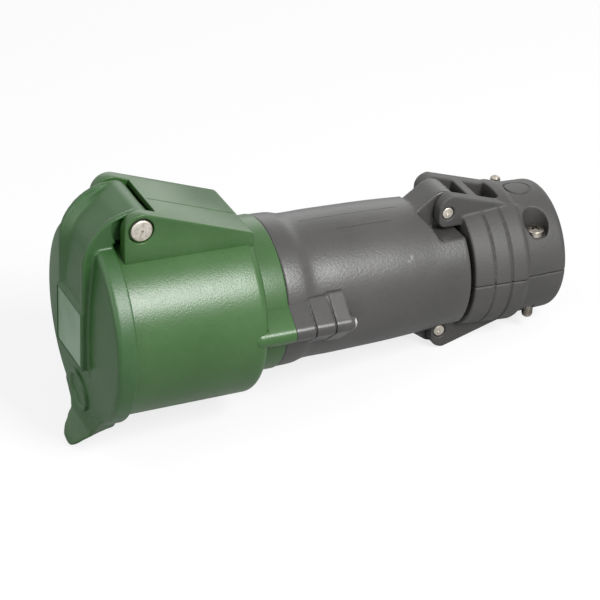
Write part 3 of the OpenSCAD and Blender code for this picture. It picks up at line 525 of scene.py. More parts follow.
@dataclass(frozen=True)
class DrawnOrTurnedMetal(Finish):
    """Metal with fine tool marks, which blur its highlights, and darker stains."""

    roughness: float
    # Real marks are finer than 0.1 mm. They are drawn coarser, so that they show
    mark_mm: float = 0.35
    mark_depth: float = 0.3
    stain: float = 0.3
    stain_mm: float = 2.2

    def surface(self, tree: Tree, place: Socket) -> Node:
        """Adds the nodes of the surface.

        Args:
            tree: The material's node tree.
            place: The Object coordinates.

        Returns:
            The shader node.
        """
        stain, marks = (
            put(tree, "TexNoise", {"Vector": place, "Scale": 1 / (size * MM), "Detail": detail,
                                   "Roughness": rough})
            for size, detail, rough in ((self.stain_mm, 5.0, 0.65), (self.mark_mm, 3.0, 0.5)))
        tint = put(tree, "ValToRGB", {0: stain}, stops=(
            (0.62 - self.stain, linear(self.second)), (0.6, linear(self.colour))))
        rough = put(tree, "MapRange", {0: stain, 1: 0.3, 2: 0.7, 3: self.roughness + 0.1,
                                       4: self.roughness - 0.05})
        bump = put(tree, "Bump", {"Height": marks, "Strength": self.mark_depth,
                                  "Distance": 0.05 * MM})
        return put(tree, "BsdfPrincipled", {"Base Color": tint, "Metallic": 1.0,
                                            "Roughness": rough, "Normal": bump})


@dataclass(frozen=True)
class MouldedRubber(Finish):
    """Moulded rubber: nearly black and matt, with a bloom that greys it in patches."""

    bloom_mm: float = 8
    # Real grain is about 0.1 mm. It is drawn coarser, so that it shows
    grain_mm: float = 0.6

    def surface(self, tree: Tree, place: Socket) -> Node:
        """Adds the nodes of the surface.

        Args:
            tree: The material's node tree.
            place: The Object coordinates.

        Returns:
            The shader node.
        """
        cloud, fine = (
            put(tree, "TexNoise", {"Vector": place, "Scale": 1 / (size * MM), "Detail": detail})
            for size, detail in ((self.bloom_mm, 5.0), (self.grain_mm, 2.0)))
        tint = put(tree, "ValToRGB", {0: cloud},
                   stops=((0.4, linear(self.colour)), (0.7, linear(self.second))))
        bump = put(tree, "Bump", {"Height": fine, "Strength": 0.2, "Distance": 0.1 * MM})
        return put(tree, "BsdfPrincipled", {"Base Color": tint, "Roughness": 0.72,
                                            "Normal": bump})


# The numbers after the colours are roughness, grain size and grain depth.
# The head is glossier than the lid, so that its long highlight is bright and sharp
GREEN = MouldedPolyamide("green_polyamide_spark_eroded", "305725", "3F6436", 0.31, 0.7, 0.34)
LID_GREEN = MouldedPolyamide("green_polyamide_satin", "285022", "395F34", 0.38, 0.7, 0.38)
# The handle's coarser grain makes its highlight sparkle; one scuff shows in it
GREY = MouldedPolyamide("grey_polyamide_spark_eroded", "3F3E3D", "4E4D4B", 0.37, 0.95, 0.42,
                        knocks_and_glints=((133.0, -24.8, 17.6, 1.6), (131.2, -25.5, 16.4, 1.2),
                                (134.2, -24.2, 18.6, 1.0)), knock_and_glint_depth=0.16)
# The jaws are the mattest, with a highlight that hardly shows
JAW_GREY = MouldedPolyamide("grey_polyamide_coarse_grain", "3D3C3B", "4B4A48", 0.56, 0.9, 0.55)
# Wear has polished the rib. The white at its rounded end is a painted highlight: the pale floor's
# reflection, painted on as two whitened spots
RIB_GREY = MouldedPolyamide("grey_polyamide_with_painted_end_highlight", "3D3C3B", "4B4A48", 0.3, 0.6, 0.12,
                            knocks_and_glints=((102.0, -40.3, 1.7, 1.9), (102.1, -40.0, -0.6, 1.8)),
                            knock_and_glint_depth=1.0)
# Glass filling makes the insert dull and dark
INSERT = MouldedPolyamide("dark_glass_filled_polyamide", "27272A", "37373A", 0.5, 0.8, 0.15)
# The foil is smooth and pale, with thin hard edges
FOIL = MouldedPolyamide("blank_green_polyester_foil", "658765", "95AE95", 0.33, 1.2, 0.05,
                        scuffs=0.5, edge_mm=0.1)
# Stainless steel stays bright and a little warm, with soft reflections
STAINLESS = DrawnOrTurnedMetal("turned_stainless_steel", "E4DED4", "B5AC9E", 0.4)
# Zinc plating is yellowed, and dark where it is worn
ZINC = DrawnOrTurnedMetal("yellowed_zinc_plated_steel", "A39D93", "57524B", 0.34, 0.3, 0.4, 0.4)
# Drawn wire is a duller grey
WIRE = DrawnOrTurnedMetal("drawn_spring_wire", "A6A29A", "6D6A65", 0.4)
# Turned brass is yellow, with the sharpest reflections
BRASS = DrawnOrTurnedMetal("turned_contact_brass", "C9A860", "94763A", 0.3)
RUBBER = MouldedRubber("moulded_black_rubber", "1C1C1C", "343433")


class Wardrobe:
    """Makes each finish once and puts it on pieces."""

    def __init__(self) -> None:
        """Starts with no material made."""
        self.made: dict[str, bpy.types.Material] = {}

    def dress(self, piece: Solid, finish: Finish) -> None:
        """Gives a piece one finish all over.

        Args:
            piece: The piece or CAD node to dress.
            finish: One of the finishes above.
        """
        if finish.name not in self.made:
            self.made[finish.name] = finish.make()
        if not piece.material_slots:
            piece.data.materials.append(None)
        for place in piece.material_slots:
            place.material = self.made[finish.name]

    def deliver(self, piece: Solid, finish: Finish, body: Body, slot: str,
                *nodes: str) -> None:
        """Dresses a finished piece, hands it to the frame and reports it.

        Args:
            piece: The finished piece.
            finish: Its finish.
            body: The body that carries it.
            slot: The record's material slot. It is not used.
            nodes: The CAD nodes it stands for.
        """
        self.dress(piece, finish)
        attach(piece, body.value)
        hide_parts(*nodes)
        LOG.info("%s: %d faces", piece.name, len(piece.data.polygons))


# ---- the side rib


@dataclass(frozen=True)
class Rib:
    """The bar of the side rib, which starts on the head and runs on over the handle."""

    reach: float = 41.1
    half: float = 3.7
    foot: float = 9.6
    round_r: float = 3.5
    # Where the rounding stops and the straight flank begins, in degrees
    flank: float = 56
    end_r: float = 12.3

    def face(self, sunk: float = 0.0, turn: float = 90) -> list[Point]:
        """Upper half of the bar's face.

        Args:
            sunk: How far a groove sinks it.
            turn: Angle at which the rounding ends, in degrees.

        Returns:
            Points as (y, z), from the face's middle on.
        """
        y, half, r = -self.reach + sunk, self.half - 0.6 * sunk, self.round_r
        angles = [radians(turn) * i / 6 for i in range(7)]
        return [(y + r - r * cos(a), half - r + r * sin(a)) for a in angles]

    def bar(self, name: str, upper: list[Point], x0: float, x1: float) -> Solid:
        """Builds a length of the rib from the upper half of its section, as (y, z)."""
        return extrude(name, upper + [(y, -z) for y, z in reversed(upper)], Along.X, x0, x1)

    def round_end(self, name: str, x: float, inwards: float = 0.0) -> Solid:
        """Builds a round end of the bar, as a turned piece that stands across.

        Args:
            name: Its name.
            x: Place of its middle along the coupler.
            inwards: How far it is set back from the bar's face.

        Returns:
            The end.
        """
        turned = ([(0, 0)] + [(-self.reach - y, z) for y, z in self.face()]
                  + [(-self.end_r, self.half), (-self.end_r, 0)])
        return lay(lathe(name, turned, 64), (x, -self.reach + inwards, 0), (-pi / 2, "Z"))


RIB = Rib()


# ---- the head


@dataclass
class Head:
    """The green head: barrel, collar, hinge block and the front of the rib."""

    barrel_r: float = 40.5
    draft: float = 0.4
    lip: float = 0.8
    length: float = 63.0
    round_r: float = 4.0
    collar_r: float = 32.7
    collar_end: float = 74.0
    collar_fillet: float = 1.2
    collar_edge: float = 0.5
    bore_r: float = 29.6
    stop_x: Point = (46, 49)
    stop_r: float = 28.6
    mouth_r: float = 37.4
    mouth_depth: float = 5.2
    shroud_r: float = 36.7
    shroud_end: float = 59.4
    sleeve_r: float = 32.3
    key_low: Place = (-1, -3.5, -38.5)
    key_high: Place = (57.9, 3.5, -33.3)
    hinge: Point = HINGE
    nose_r: float = 7.4
    roof_angle: float = 19.1
    roof_wall: float = 3.0
    block_half: float = 20.5
    slot_half: float = 15.2
    # The hinge block and the rib are cut to this radius, inside the barrel's skin
    inside_r: float = 38.4
    pin_recess_r: float = 5.5
    nut_pocket_r: float = 4.72
    rib_nose_x: float = 59.3

    def outline(self) -> list[Point]:
        """Outline of the turned part.

        Returns:
            Points as (x, radius).
        """
        steps, lip, fillet, edge = 12, self.lip, self.collar_fillet, self.collar_edge
        rear_r, round_x = self.barrel_r - self.draft, self.length - self.round_r
        side = [(lip + (round_x - lip) * i / steps, self.barrel_r - self.draft * i / steps)
                for i in range(1, steps)]
        stop_front, stop_rear = self.stop_x
        return ([(0, self.mouth_r), (0, self.barrel_r - lip), (0.25, self.barrel_r - 0.25),
                 (lip, self.barrel_r)] + side
                + arc((round_x, rear_r - self.round_r), self.round_r, 90, 0, 12)
                + arc((self.length + fillet, self.collar_r + fillet), fillet, 180, 270, 6)
                + arc((self.collar_end - edge, self.collar_r - edge), edge, 90, 0, 4)
                + [(self.collar_end, self.bore_r), (stop_rear, self.bore_r),
                   (stop_rear, self.stop_r), (stop_front, self.stop_r),
                   (stop_front, self.sleeve_r), (self.shroud_end, self.sleeve_r),
                   (self.shroud_end, self.shroud_r), (self.mouth_depth, self.shroud_r),
                   (self.mouth_depth, self.mouth_r)])

    def roof_z(self, x: float) -> float:
        """Height of the block's roof at a place along the coupler."""
        rise = self.nose_r / cos(radians(self.roof_angle))
        return self.hinge[1] + rise - (x - self.hinge[0]) * tan(radians(self.roof_angle))

    def barrel(self) -> Solid:
        """Builds the turned barrel with its keyway."""
        piece = lathe("head_barrel", self.outline(), 192)
        return smooth(cut(piece, block("keyway", self.key_low, self.key_high)))

    def hinge_block(self) -> Solid:
        """Builds the block with its two cheeks, bore, recess and pocket.

        Returns:
            The block.
        """
        (hx, hz), half, slot = self.hinge, self.block_half, self.slot_half
        rear = self.length - 0.3
        outline = ([(hx - self.nose_r, 34.5)]
                   + arc(self.hinge, self.nose_r, 180, 90 - self.roof_angle, 20)
                   + [(self.length - 1.5, self.roof_z(self.length - 1.5)),
                      (rear, self.roof_z(self.length) - 0.5), (rear, 33.5)])
        piece = extrude("head_hinge_block", outline, Along.Y, -half, half)
        under = self.roof_wall / cos(radians(self.roof_angle))
        front, back, above = hx + 7.3, 56, hz + 15
        room = [(-1, 0), (-1, above), (front, above), (front, self.roof_z(front) - under),
                (back, self.roof_z(back) - under), (back, 0)]
        cut(piece, extrude("room", room, Along.Y, -slot, slot))
        cut(piece, rod("belly", (-1, 0, 0), (80, 0, 0), self.inside_r, 128))
        cut(piece, rod("bore", (hx, -25, hz), (hx, 25, hz), HINGE_BORE_R))
        # The recess sits a little forward of the pin and above it
        rx, rz = hx - 0.35, hz + 0.35
        cut(piece, rod("recess", (rx, -25, rz), (rx, -17.9, rz), self.pin_recess_r))
        cut(piece, rod("pocket", (hx, 16.9, hz), (hx, 25, hz), self.nut_pocket_r, 6))
        modify(piece, "BEVEL", width=0.7 * MM, segments=3, limit_method="ANGLE",
               angle_limit=radians(40), miter_outer="MITER_ARC")
        return smooth(piece)

    def roof_line(self) -> Solid:
        """Builds the faint raised parting line along the roof.

        Returns:
            The line.
        """
        x0, x1, lift, sunk = 23.0, self.length - 2, 0.1, 0.5
        outline = [(x0, self.roof_z(x0) - sunk), (x0, self.roof_z(x0) + lift),
                   (x1, self.roof_z(x1) + lift), (x1, self.roof_z(x1) - sunk)]
        return extrude("head_roof_line", outline, Along.Y, -2.7, -2.35)

    def rib(self) -> Solid:
        """Builds the green front of the side rib, with its round nose.

        Returns:
            The rib.
        """
        root = -28.8
        flanked = RIB.face(turn=RIB.flank) + [(-31.0, RIB.foot), (root, RIB.foot)]
        piece = RIB.bar("head_rib", flanked, 62.4, self.collar_end)
        add(piece, RIB.bar("bar", RIB.face() + [(root, RIB.half)], self.rib_nose_x,
                           self.collar_end))
        add(piece, RIB.round_end("nose", self.rib_nose_x, 0.01))
        cut(piece, rod("hollow", ORIGIN, (80, 0, 0), 31.9, 128))
        cut(piece, rod("barrel", ORIGIN, (61.2, 0, 0), self.inside_r, 128))
        return smooth(piece, 50)

    def build(self, wardrobe: Wardrobe) -> None:
        """Builds, dresses and delivers the head."""
        for piece in (self.barrel(), self.hinge_block(), self.roof_line(), self.rib()):
            wardrobe.deliver(piece, GREEN, Body.COUPLER, "green_plastic", "front_housing")


# ---- the lid


@dataclass
class Lid:
    """The flap lid: dome, rim, arm with its trough, lift tab and bare round pad."""

    rim_r: float = 42.9
    rim_front: float = 3.5
    rim_rear: float = 4.9
    rim_round: float = 0.55
    shoulder: float = 2.3
    inner_r: float = 41.2
    dome: float = 2.9
    face_x: float = -1.4
    hinge: Point = HINGE
    bend: Point = (14.4, 31.8)
    arm_r: float = 23.1
    arm_half: float = 14.9
    knuckle_r: float = 6.6
    neck_half: float = 12.5
    # Layers of the trough, as (half width, depth)
    trough: tuple[Point, ...] = ((12.4, 0.9), (11.3, 1.6), (10.2, 2.3), (9.1, 3.0))
    trough_z: float = 13.4
    spring_half: float = 5.4
    tab_drop: float = 56.2
    tab_tip_r: float = 8.6
    tab_root: float = 20.5
    tab_curl: float = 10.2
    # The pad's height and radius, and the radius of the ball that it leans with
    pad: Point = (-31.6, 9.3)
    pad_ball_r: float = 302.7
    plate_half: float = 13.9
    plate_z: Point = (-13.3, 11.4)
    plate_round: float = 1.2

    def dome_x(self, r: float) -> float:
        """Place of the dome's face at a radius.

        Args:
            r: The radius.

        Returns:
            Its place along the coupler.
        """
        edge = self.rim_r - self.shoulder
        ball = (edge * edge + self.dome * self.dome) / (2 * self.dome)
        return -self.rim_front - self.dome + ball - sqrt(ball * ball - r * r)

    def shell(self) -> Solid:
        """Builds the turned dome and skirt.

        Returns:
            The shell.
        """
        edge, edge_r, steps = self.rim_r - self.shoulder, self.rim_round, 16
        radii = [edge * i / steps for i in range(steps + 1)]
        outline = ([(self.dome_x(r), r) for r in radii]
                   + arc((self.shoulder - self.rim_front, edge), self.shoulder, 172, 90, 8)
                   + arc((self.rim_rear - edge_r, self.rim_r - edge_r), edge_r, 90, 0, 3)
                   + [(self.rim_rear, 41.6), (0, self.inner_r), (self.face_x, self.inner_r),
                      (self.face_x, 34.0), (-2.9, 31.6), (-4.0, 0)])
        return lathe("lid_shell", outline, 160)

    def arm(self) -> Solid:
        """Builds the raised band, the bend and the knuckle as one solid.

        Returns:
            The arm.
        """
        (hx, hz), half, bx = self.hinge, self.arm_half, self.bend[0] - self.arm_r
        outline = ([(4.4, -15), (-6.0, -17.4), (bx + 2.6, -15.4), (bx, -12.6)]
                   + arc(self.bend, self.arm_r, 180, 90, 26) + [(hx, 42), (4.4, 42)])
        piece = extrude("lid_arm", outline, Along.Y, -half, half)
        return add(piece, rod("knuckle", (hx, -half, hz), (hx, half, hz), self.knuckle_r, 64))

    def tab(self) -> Solid:
        """Builds the lift tab, curled forward towards its tip.

        Returns:
            The tab.
        """
        tip = -self.tab_drop + self.tab_tip_r
        root = -sqrt((self.rim_r - 0.6) ** 2 - self.tab_root ** 2)
        front = (arc((0, tip), self.tab_tip_r, -42, -138, 12)
                 + [(-self.tab_root, root), (0, -25), (self.tab_root, root)])
        piece = extrude("lid_tab", front, Along.X, -20, 8)
        drop, curl, rim, past = self.tab_drop - self.rim_r, self.tab_curl, self.rim_r, 1
        # The curl, as shares of how far the tab reaches forward and of how far it drops
        outer = [(-3.9, -30), (-3.6, -rim), (-4.2, -rim - 0.25 * drop)]
        outer += [(-a * curl, -rim - b * drop) for a, b in (
            (0.63, 0.45), (0.83, 0.62), (0.95, 0.79), (1, 0.91))]
        inner = [(-a * curl, -self.tab_drop - past) for a in (0.98, 0.84)]
        inner += [(-a * curl, -rim - b * drop) for a, b in (
            (0.76, 0.86), (0.6, 0.68), (0.34, 0.46), (0.05, 0.22))]
        side = outer + inner + [(1.8, -rim - 0.08 * drop), (4.5, -rim + 0.2), (4.5, -30)]
        return combine(piece, extrude("tab_side", side, Along.Y, -PAST, PAST), Cut.KEEP)

    def trough_tool(self, half: float, depth: float) -> Solid:
        """Builds the tool for one layer of the trough: a slab over the bend.

        Args:
            half: Half its width.
            depth: How far it is sunk.

        Returns:
            The tool.
        """
        (cx, cz), above = self.bend, 60
        bx, deepest = cx - self.arm_r, self.trough[-1][1]
        fade = radians(100 - 4 * (deepest - depth))
        end_x, end_z = cx + self.arm_r * cos(fade), cz + self.arm_r * sin(fade)
        outline = ([(bx - 2, self.trough_z), (bx + 0.35 * depth, self.trough_z)]
                   + arc(self.bend, self.arm_r - depth, 180, 132, 10)
                   + [(end_x, end_z), (end_x, above), (bx - 2, above)])
        return extrude("trough", outline, Along.Y, -half, half)

    def hollow_tool(self) -> Solid:
        """Builds the tool for the hollow behind the arm, over the rim.

        Returns:
            The tool.
        """
        inner, low, rear = self.arm_r - self.trough[-1][1] - 2.1, 21, 7.8
        outline = ([(self.bend[0] - inner, low)] + arc(self.bend, inner, 180, 115, 10)
                   + [(rear, self.bend[1] + inner * sin(radians(110))), (rear, low)])
        piece = extrude("arm_hollow", outline, Along.Y, -12, 12)
        return cut(piece, rod("rim_keep", (-46, 0, 0), (rear, 0, 0), 42.2, 128))

    def body(self) -> Solid:
        """Joins the lid's forms and melts them together.

        Returns:
            The lid's body.
        """
        (hx, hz), wide = self.hinge, self.arm_half
        piece = self.shell()
        added = add(self.arm(), self.tab())
        cut(added, rod("barrel_room", (-1.5, 0, 0), (hx, 0, 0), 41.3, 160))
        add(piece, added)
        for half, depth in self.trough:
            cut(piece, self.trough_tool(half, depth))
        cut(piece, self.hollow_tool())
        room = arc(self.hinge, 5.4, 45, 180, 14) + [(hx - 7.6, hz), (hx - 7.6, hz - 13.2),
                                                     (hx + 7.6, hz - 13.2), (hx + 7.6, hz + 7.6)]
        cut(piece, extrude("spring_room", room, Along.Y, -self.spring_half, self.spring_half))
        (low, high), frame_w, gap = self.plate_z, 0.9, 0.1
        add(piece, block("frame", (-9.4, -wide, low - frame_w), (-8, wide, high + frame_w)))
        cut(piece, block("core", (-5.7, -11.3, -12.6), (self.face_x, 11.3, 12.4)))
        mould(piece, 0.5, 5)
        half = self.plate_half + gap
        cut(piece, block("tray", (-12, -half, low - gap), (-8.5, half, high + gap)))
        cut(piece, rod("pin_bore", (hx, -16, hz), (hx, 16, hz), HINGE_BORE_R))
        # The neck steps in beside the cheeks, which leaves a dark gap round their noses
        neck = (arc(self.bend, self.arm_r - 1.2, 90, 118, 6)
                + arc(self.hinge, self.knuckle_r + 4.2, 164, 240, 10) + [(hx, hz - 9.4)])
        for side in (1, -1):
            cut(piece, extrude("neck_step", neck, Along.Y, side * self.neck_half, side * 16))
        return smooth(rename(piece, "lid_body"), 50)

    def round_pad(self) -> Solid:
        """Builds the bare round pad under the plate: a shallow dish with a raised rim.

        Returns:
            The pad.
        """
        z, r = self.pad
        outline = [(1.6, 0), (1.6, r), (-0.4, r), (-1.0, r - 0.2), (-1.3, r - 0.7),
                   (-1.3, r - 1.2), (-1.0, r - 1.7), (-0.4, r - 2.2), (-0.25, r - 3.4),
                   (-0.35, 0)]
        piece = lathe("lid_round_pad", outline, 96)
        lay(piece, (self.dome_x(-z), 0, z), (asin(z / self.pad_ball_r), "Y"))
        return smooth(piece)

    def rating_plate(self) -> Solid:
        """Builds the blank plate with its rounded corners and embossed border.

        Returns:
            The plate.
        """
        r, (low, high), corners = self.plate_round, self.plate_z, []
        far = self.plate_half - r
        for y, z, start in ((far, high - r, 0), (-far, high - r, 90), (-far, low + r, 180),
                            (far, low + r, 270)):
            corners += arc((y, z), r, start, start + 90, 5)
        piece = extrude("lid_rating_plate", corners, Along.X, -8.4, -8.95)
        edit(piece, "FACE")
        bpy.ops.mesh.select_all(action="DESELECT")
        bpy.ops.object.mode_set(mode="OBJECT")
        min(piece.data.polygons, key=lambda f: f.center.x).select = True
        bpy.ops.object.mode_set(mode="EDIT")
        bpy.ops.mesh.inset(thickness=0.7 * MM, depth=0)
        bpy.ops.mesh.inset(thickness=0.12 * MM, depth=-0.08 * MM)
        bpy.ops.object.mode_set(mode="OBJECT")
        return smooth(piece)

    def build(self, wardrobe: Wardrobe) -> None:
        """Builds, dresses and delivers the lid.

        Args:
            wardrobe: Where its finishes are made.
        """
        for piece in (self.body(), self.round_pad()):
            wardrobe.deliver(piece, LID_GREEN, Body.LID, "green_plastic", "flap_lid")
        wardrobe.deliver(self.rating_plate(), FOIL, Body.LID, "plate_foil", "rating_plate")


# ---- the handle


@dataclass
class Handle:
    """The grey handle: grip, pockets and lugs for the clamp, and the rib's steps."""

    front_x: float = 74.1
    end_x: float = 160.0
    end_r: float = 28.4
    spigot_x: float = 53.8
    spigot_r: float = 29.4
    groove_x: Point = (67.3, 69.7)
    groove_r: float = 27.5
    inner_r: float = 25.9
    wall: float = 3.6
    gland_r: float = 16.5
    gland_x: float = 142.8
    cable_r: float = 13.5
    pocket_z: float = 20.2
    pocket_half: float = 21.4
    lug_half: float = 7.0
    lug_r: float = 7.6
    pivot: Point = PIVOT
    rib_step: float = 8.8
    rib_gap: float = 0.4
    rib_groove: float = 0.9
    # The grip's outer line, as (x, radius)
    grip: list[Point] = field(default_factory=lambda: [
        (74.7, 32.3), (79.0, 32.25), (82.4, 32.05), (84.4, 31.6), (86.4, 31.05), (88.6, 30.8),
        (93.0, 30.75), (100.0, 30.8), (110.0, 30.6), (126.0, 30.2), (138.0, 29.6),
        (146.0, 29.15), (159.3, 28.9)])
    # The two faint raised lines on its top: name, start and end, degrees from the top, height
    lines: tuple[tuple[str, Point, float, float], ...] = (
        ("handle_near_line", (104, 131), 18.5, 0.22), ("handle_top_line", (90, 136), 3, 0.07))

    def shell(self) -> Solid:
        """Builds the turned grip with its spigot and gland bore.

        Returns:
            The grip.
        """
        front, rear = self.groove_x
        outline = ([(self.spigot_x, self.spigot_r - 0.8), (self.spigot_x + 0.8, self.spigot_r),
                    (front, self.spigot_r), (front, self.groove_r), (rear, self.groove_r),
                    (rear, self.spigot_r), (self.front_x, self.spigot_r),
                    (self.front_x, 31.9)] + curve(self.grip)
                   + [(self.end_x, self.end_r), (self.end_x, self.gland_r),
                      (self.gland_x, self.gland_r), (self.gland_x, self.cable_r),
                      (self.gland_x - self.wall, self.cable_r), (125.4, 26.7), (81.3, 27.3),
                      (self.front_x, self.inner_r), (self.spigot_x, self.inner_r)])
        return lathe("handle_grip", outline, 160)

    def pocket(self, side: int) -> Solid:
        """Builds the tool that cuts the flat floor under one pair of arms.

        Args:
            side: 1 for the upper arms, -1 for the lower ones.

        Returns:
            The tool.
        """
        wide_x, tight_x = self.pivot[0] - 0.85 * self.lug_r, self.pivot[0] - 1.6 * self.lug_r
        end, wide, tight = self.end_x + 1, self.pocket_half, self.lug_half
        plan = [(tight_x, -tight), (wide_x, -wide), (end, -wide), (end, wide), (wide_x, wide),
                (tight_x, tight)]
        low, high = sorted((side * self.pocket_z, side * 36))
        return extrude("pocket", plan, Along.Z, low, high)

    def lug(self) -> Solid:
        """Builds the upper lug with its ramp and pin bore.

        Returns:
            The lug.
        """
        (px, pz), low, half = self.pivot, self.pocket_z - 1.5, self.lug_half
        foot_x = px - 1.7 * self.lug_r
        lean = degrees(asin(self.lug_r / (px - foot_x)))
        outline = ([(foot_x, low), (foot_x, pz)] + arc(self.pivot, self.lug_r, 90 + lean, 0, 16)
                   + [(self.end_x, low)])
        piece = extrude("lug", outline, Along.Y, -half, half)
        return cut(piece, rod("pin", (px, -9, pz), (px, 9, pz), PIVOT_BORE_R))

    def rib_length(self, name: str, foot: float, sunk: float, x0: float, x1: float) -> Solid:
        """Builds a step of the rib by the half width of its foot, or a groove, sunk by some."""
        feet = [(-30.4, foot - 0.8 * sunk), (-28, foot)]
        return RIB.bar(name, RIB.face(sunk, RIB.flank) + feet, x0, x1)

    def rib(self) -> Solid:
        """Builds the rib: three steps, two grooves and the rounded end.

        Returns:
            The rib.
        """
        parts, gap, half_groove = [], self.rib_gap, 0.6
        for i in range(3):
            start, foot = self.front_x + i * self.rib_step, RIB.foot * (1 + 0.09 * i)
            length = self.rib_step - (gap if i < 2 else 1.6)
            parts.append(self.rib_length("rib_step", foot, 0, start + (gap if i else 0),
                                         start + length))
            if i:
                parts.append(self.rib_length("rib_groove", foot, self.rib_groove,
                                             start - half_groove, start + half_groove))
        parts.append(RIB.round_end("rib_end", self.front_x + 3 * self.rib_step - 2))
        take(parts[0])
        for part in parts:
            part.select_set(True)
        bpy.ops.object.join()
        piece = parts[0]
        mould(piece, 0.3, 2, 0.4)
        cut(piece, rod("hollow", (70, 0, 0), (104, 0, 0), 29.3, 96))
        return rename(smooth(piece, 50), "handle_rib")

    def line_mark(self, name: str, span: Point, clock: float, lift: float) -> Solid:
        """Builds one of the two faint raised lines on the grip's top.

        Args:
            name: Name of the line.
            span: Where it begins and ends along the coupler.
            clock: Its angle from the top towards the near side, in degrees.
            lift: How far it stands proud.

        Returns:
            The line.
        """
        top = [(x, r + lift) for x, r in curve(self.grip) if span[0] < x < span[1]]
        outline, half = top + [(x, r - 0.7) for x, r in reversed(top)], 0.16
        return lay(extrude(name, outline, Along.Y, -half, half), ORIGIN, (radians(clock), "X"))

    def body(self) -> Solid:
        """Builds the grip with its pockets and its two lugs.

        Returns:
            The handle's body.
        """
        piece = self.shell()
        for side in (1, -1):
            cut(piece, self.pocket(side))
        lug = self.lug()
        for part in (lug, lay(copy_of(lug, "lower_lug"), ORIGIN, (pi, "X"))):
            cut(part, rod("gland", (70, 0, 0), (161, 0, 0), self.gland_r + 0.4, 64))
            add(piece, part)
        mould(piece, 0.55, 3, 0.4, 0.5)
        return rename(piece, "handle_shell")

    def build(self, wardrobe: Wardrobe) -> None:
        """Builds, dresses and delivers the handle.

        Args:
            wardrobe: Where its finishes are made.
        """
        pieces = [(self.body(), GREY), (self.rib(), RIB_GREY)]
        pieces += [(self.line_mark(*line), GREY) for line in self.lines]
        for piece, finish in pieces:
            wardrobe.deliver(piece, finish, Body.COUPLER, "grey_plastic", "handle_body")


# ---- the cable clamp


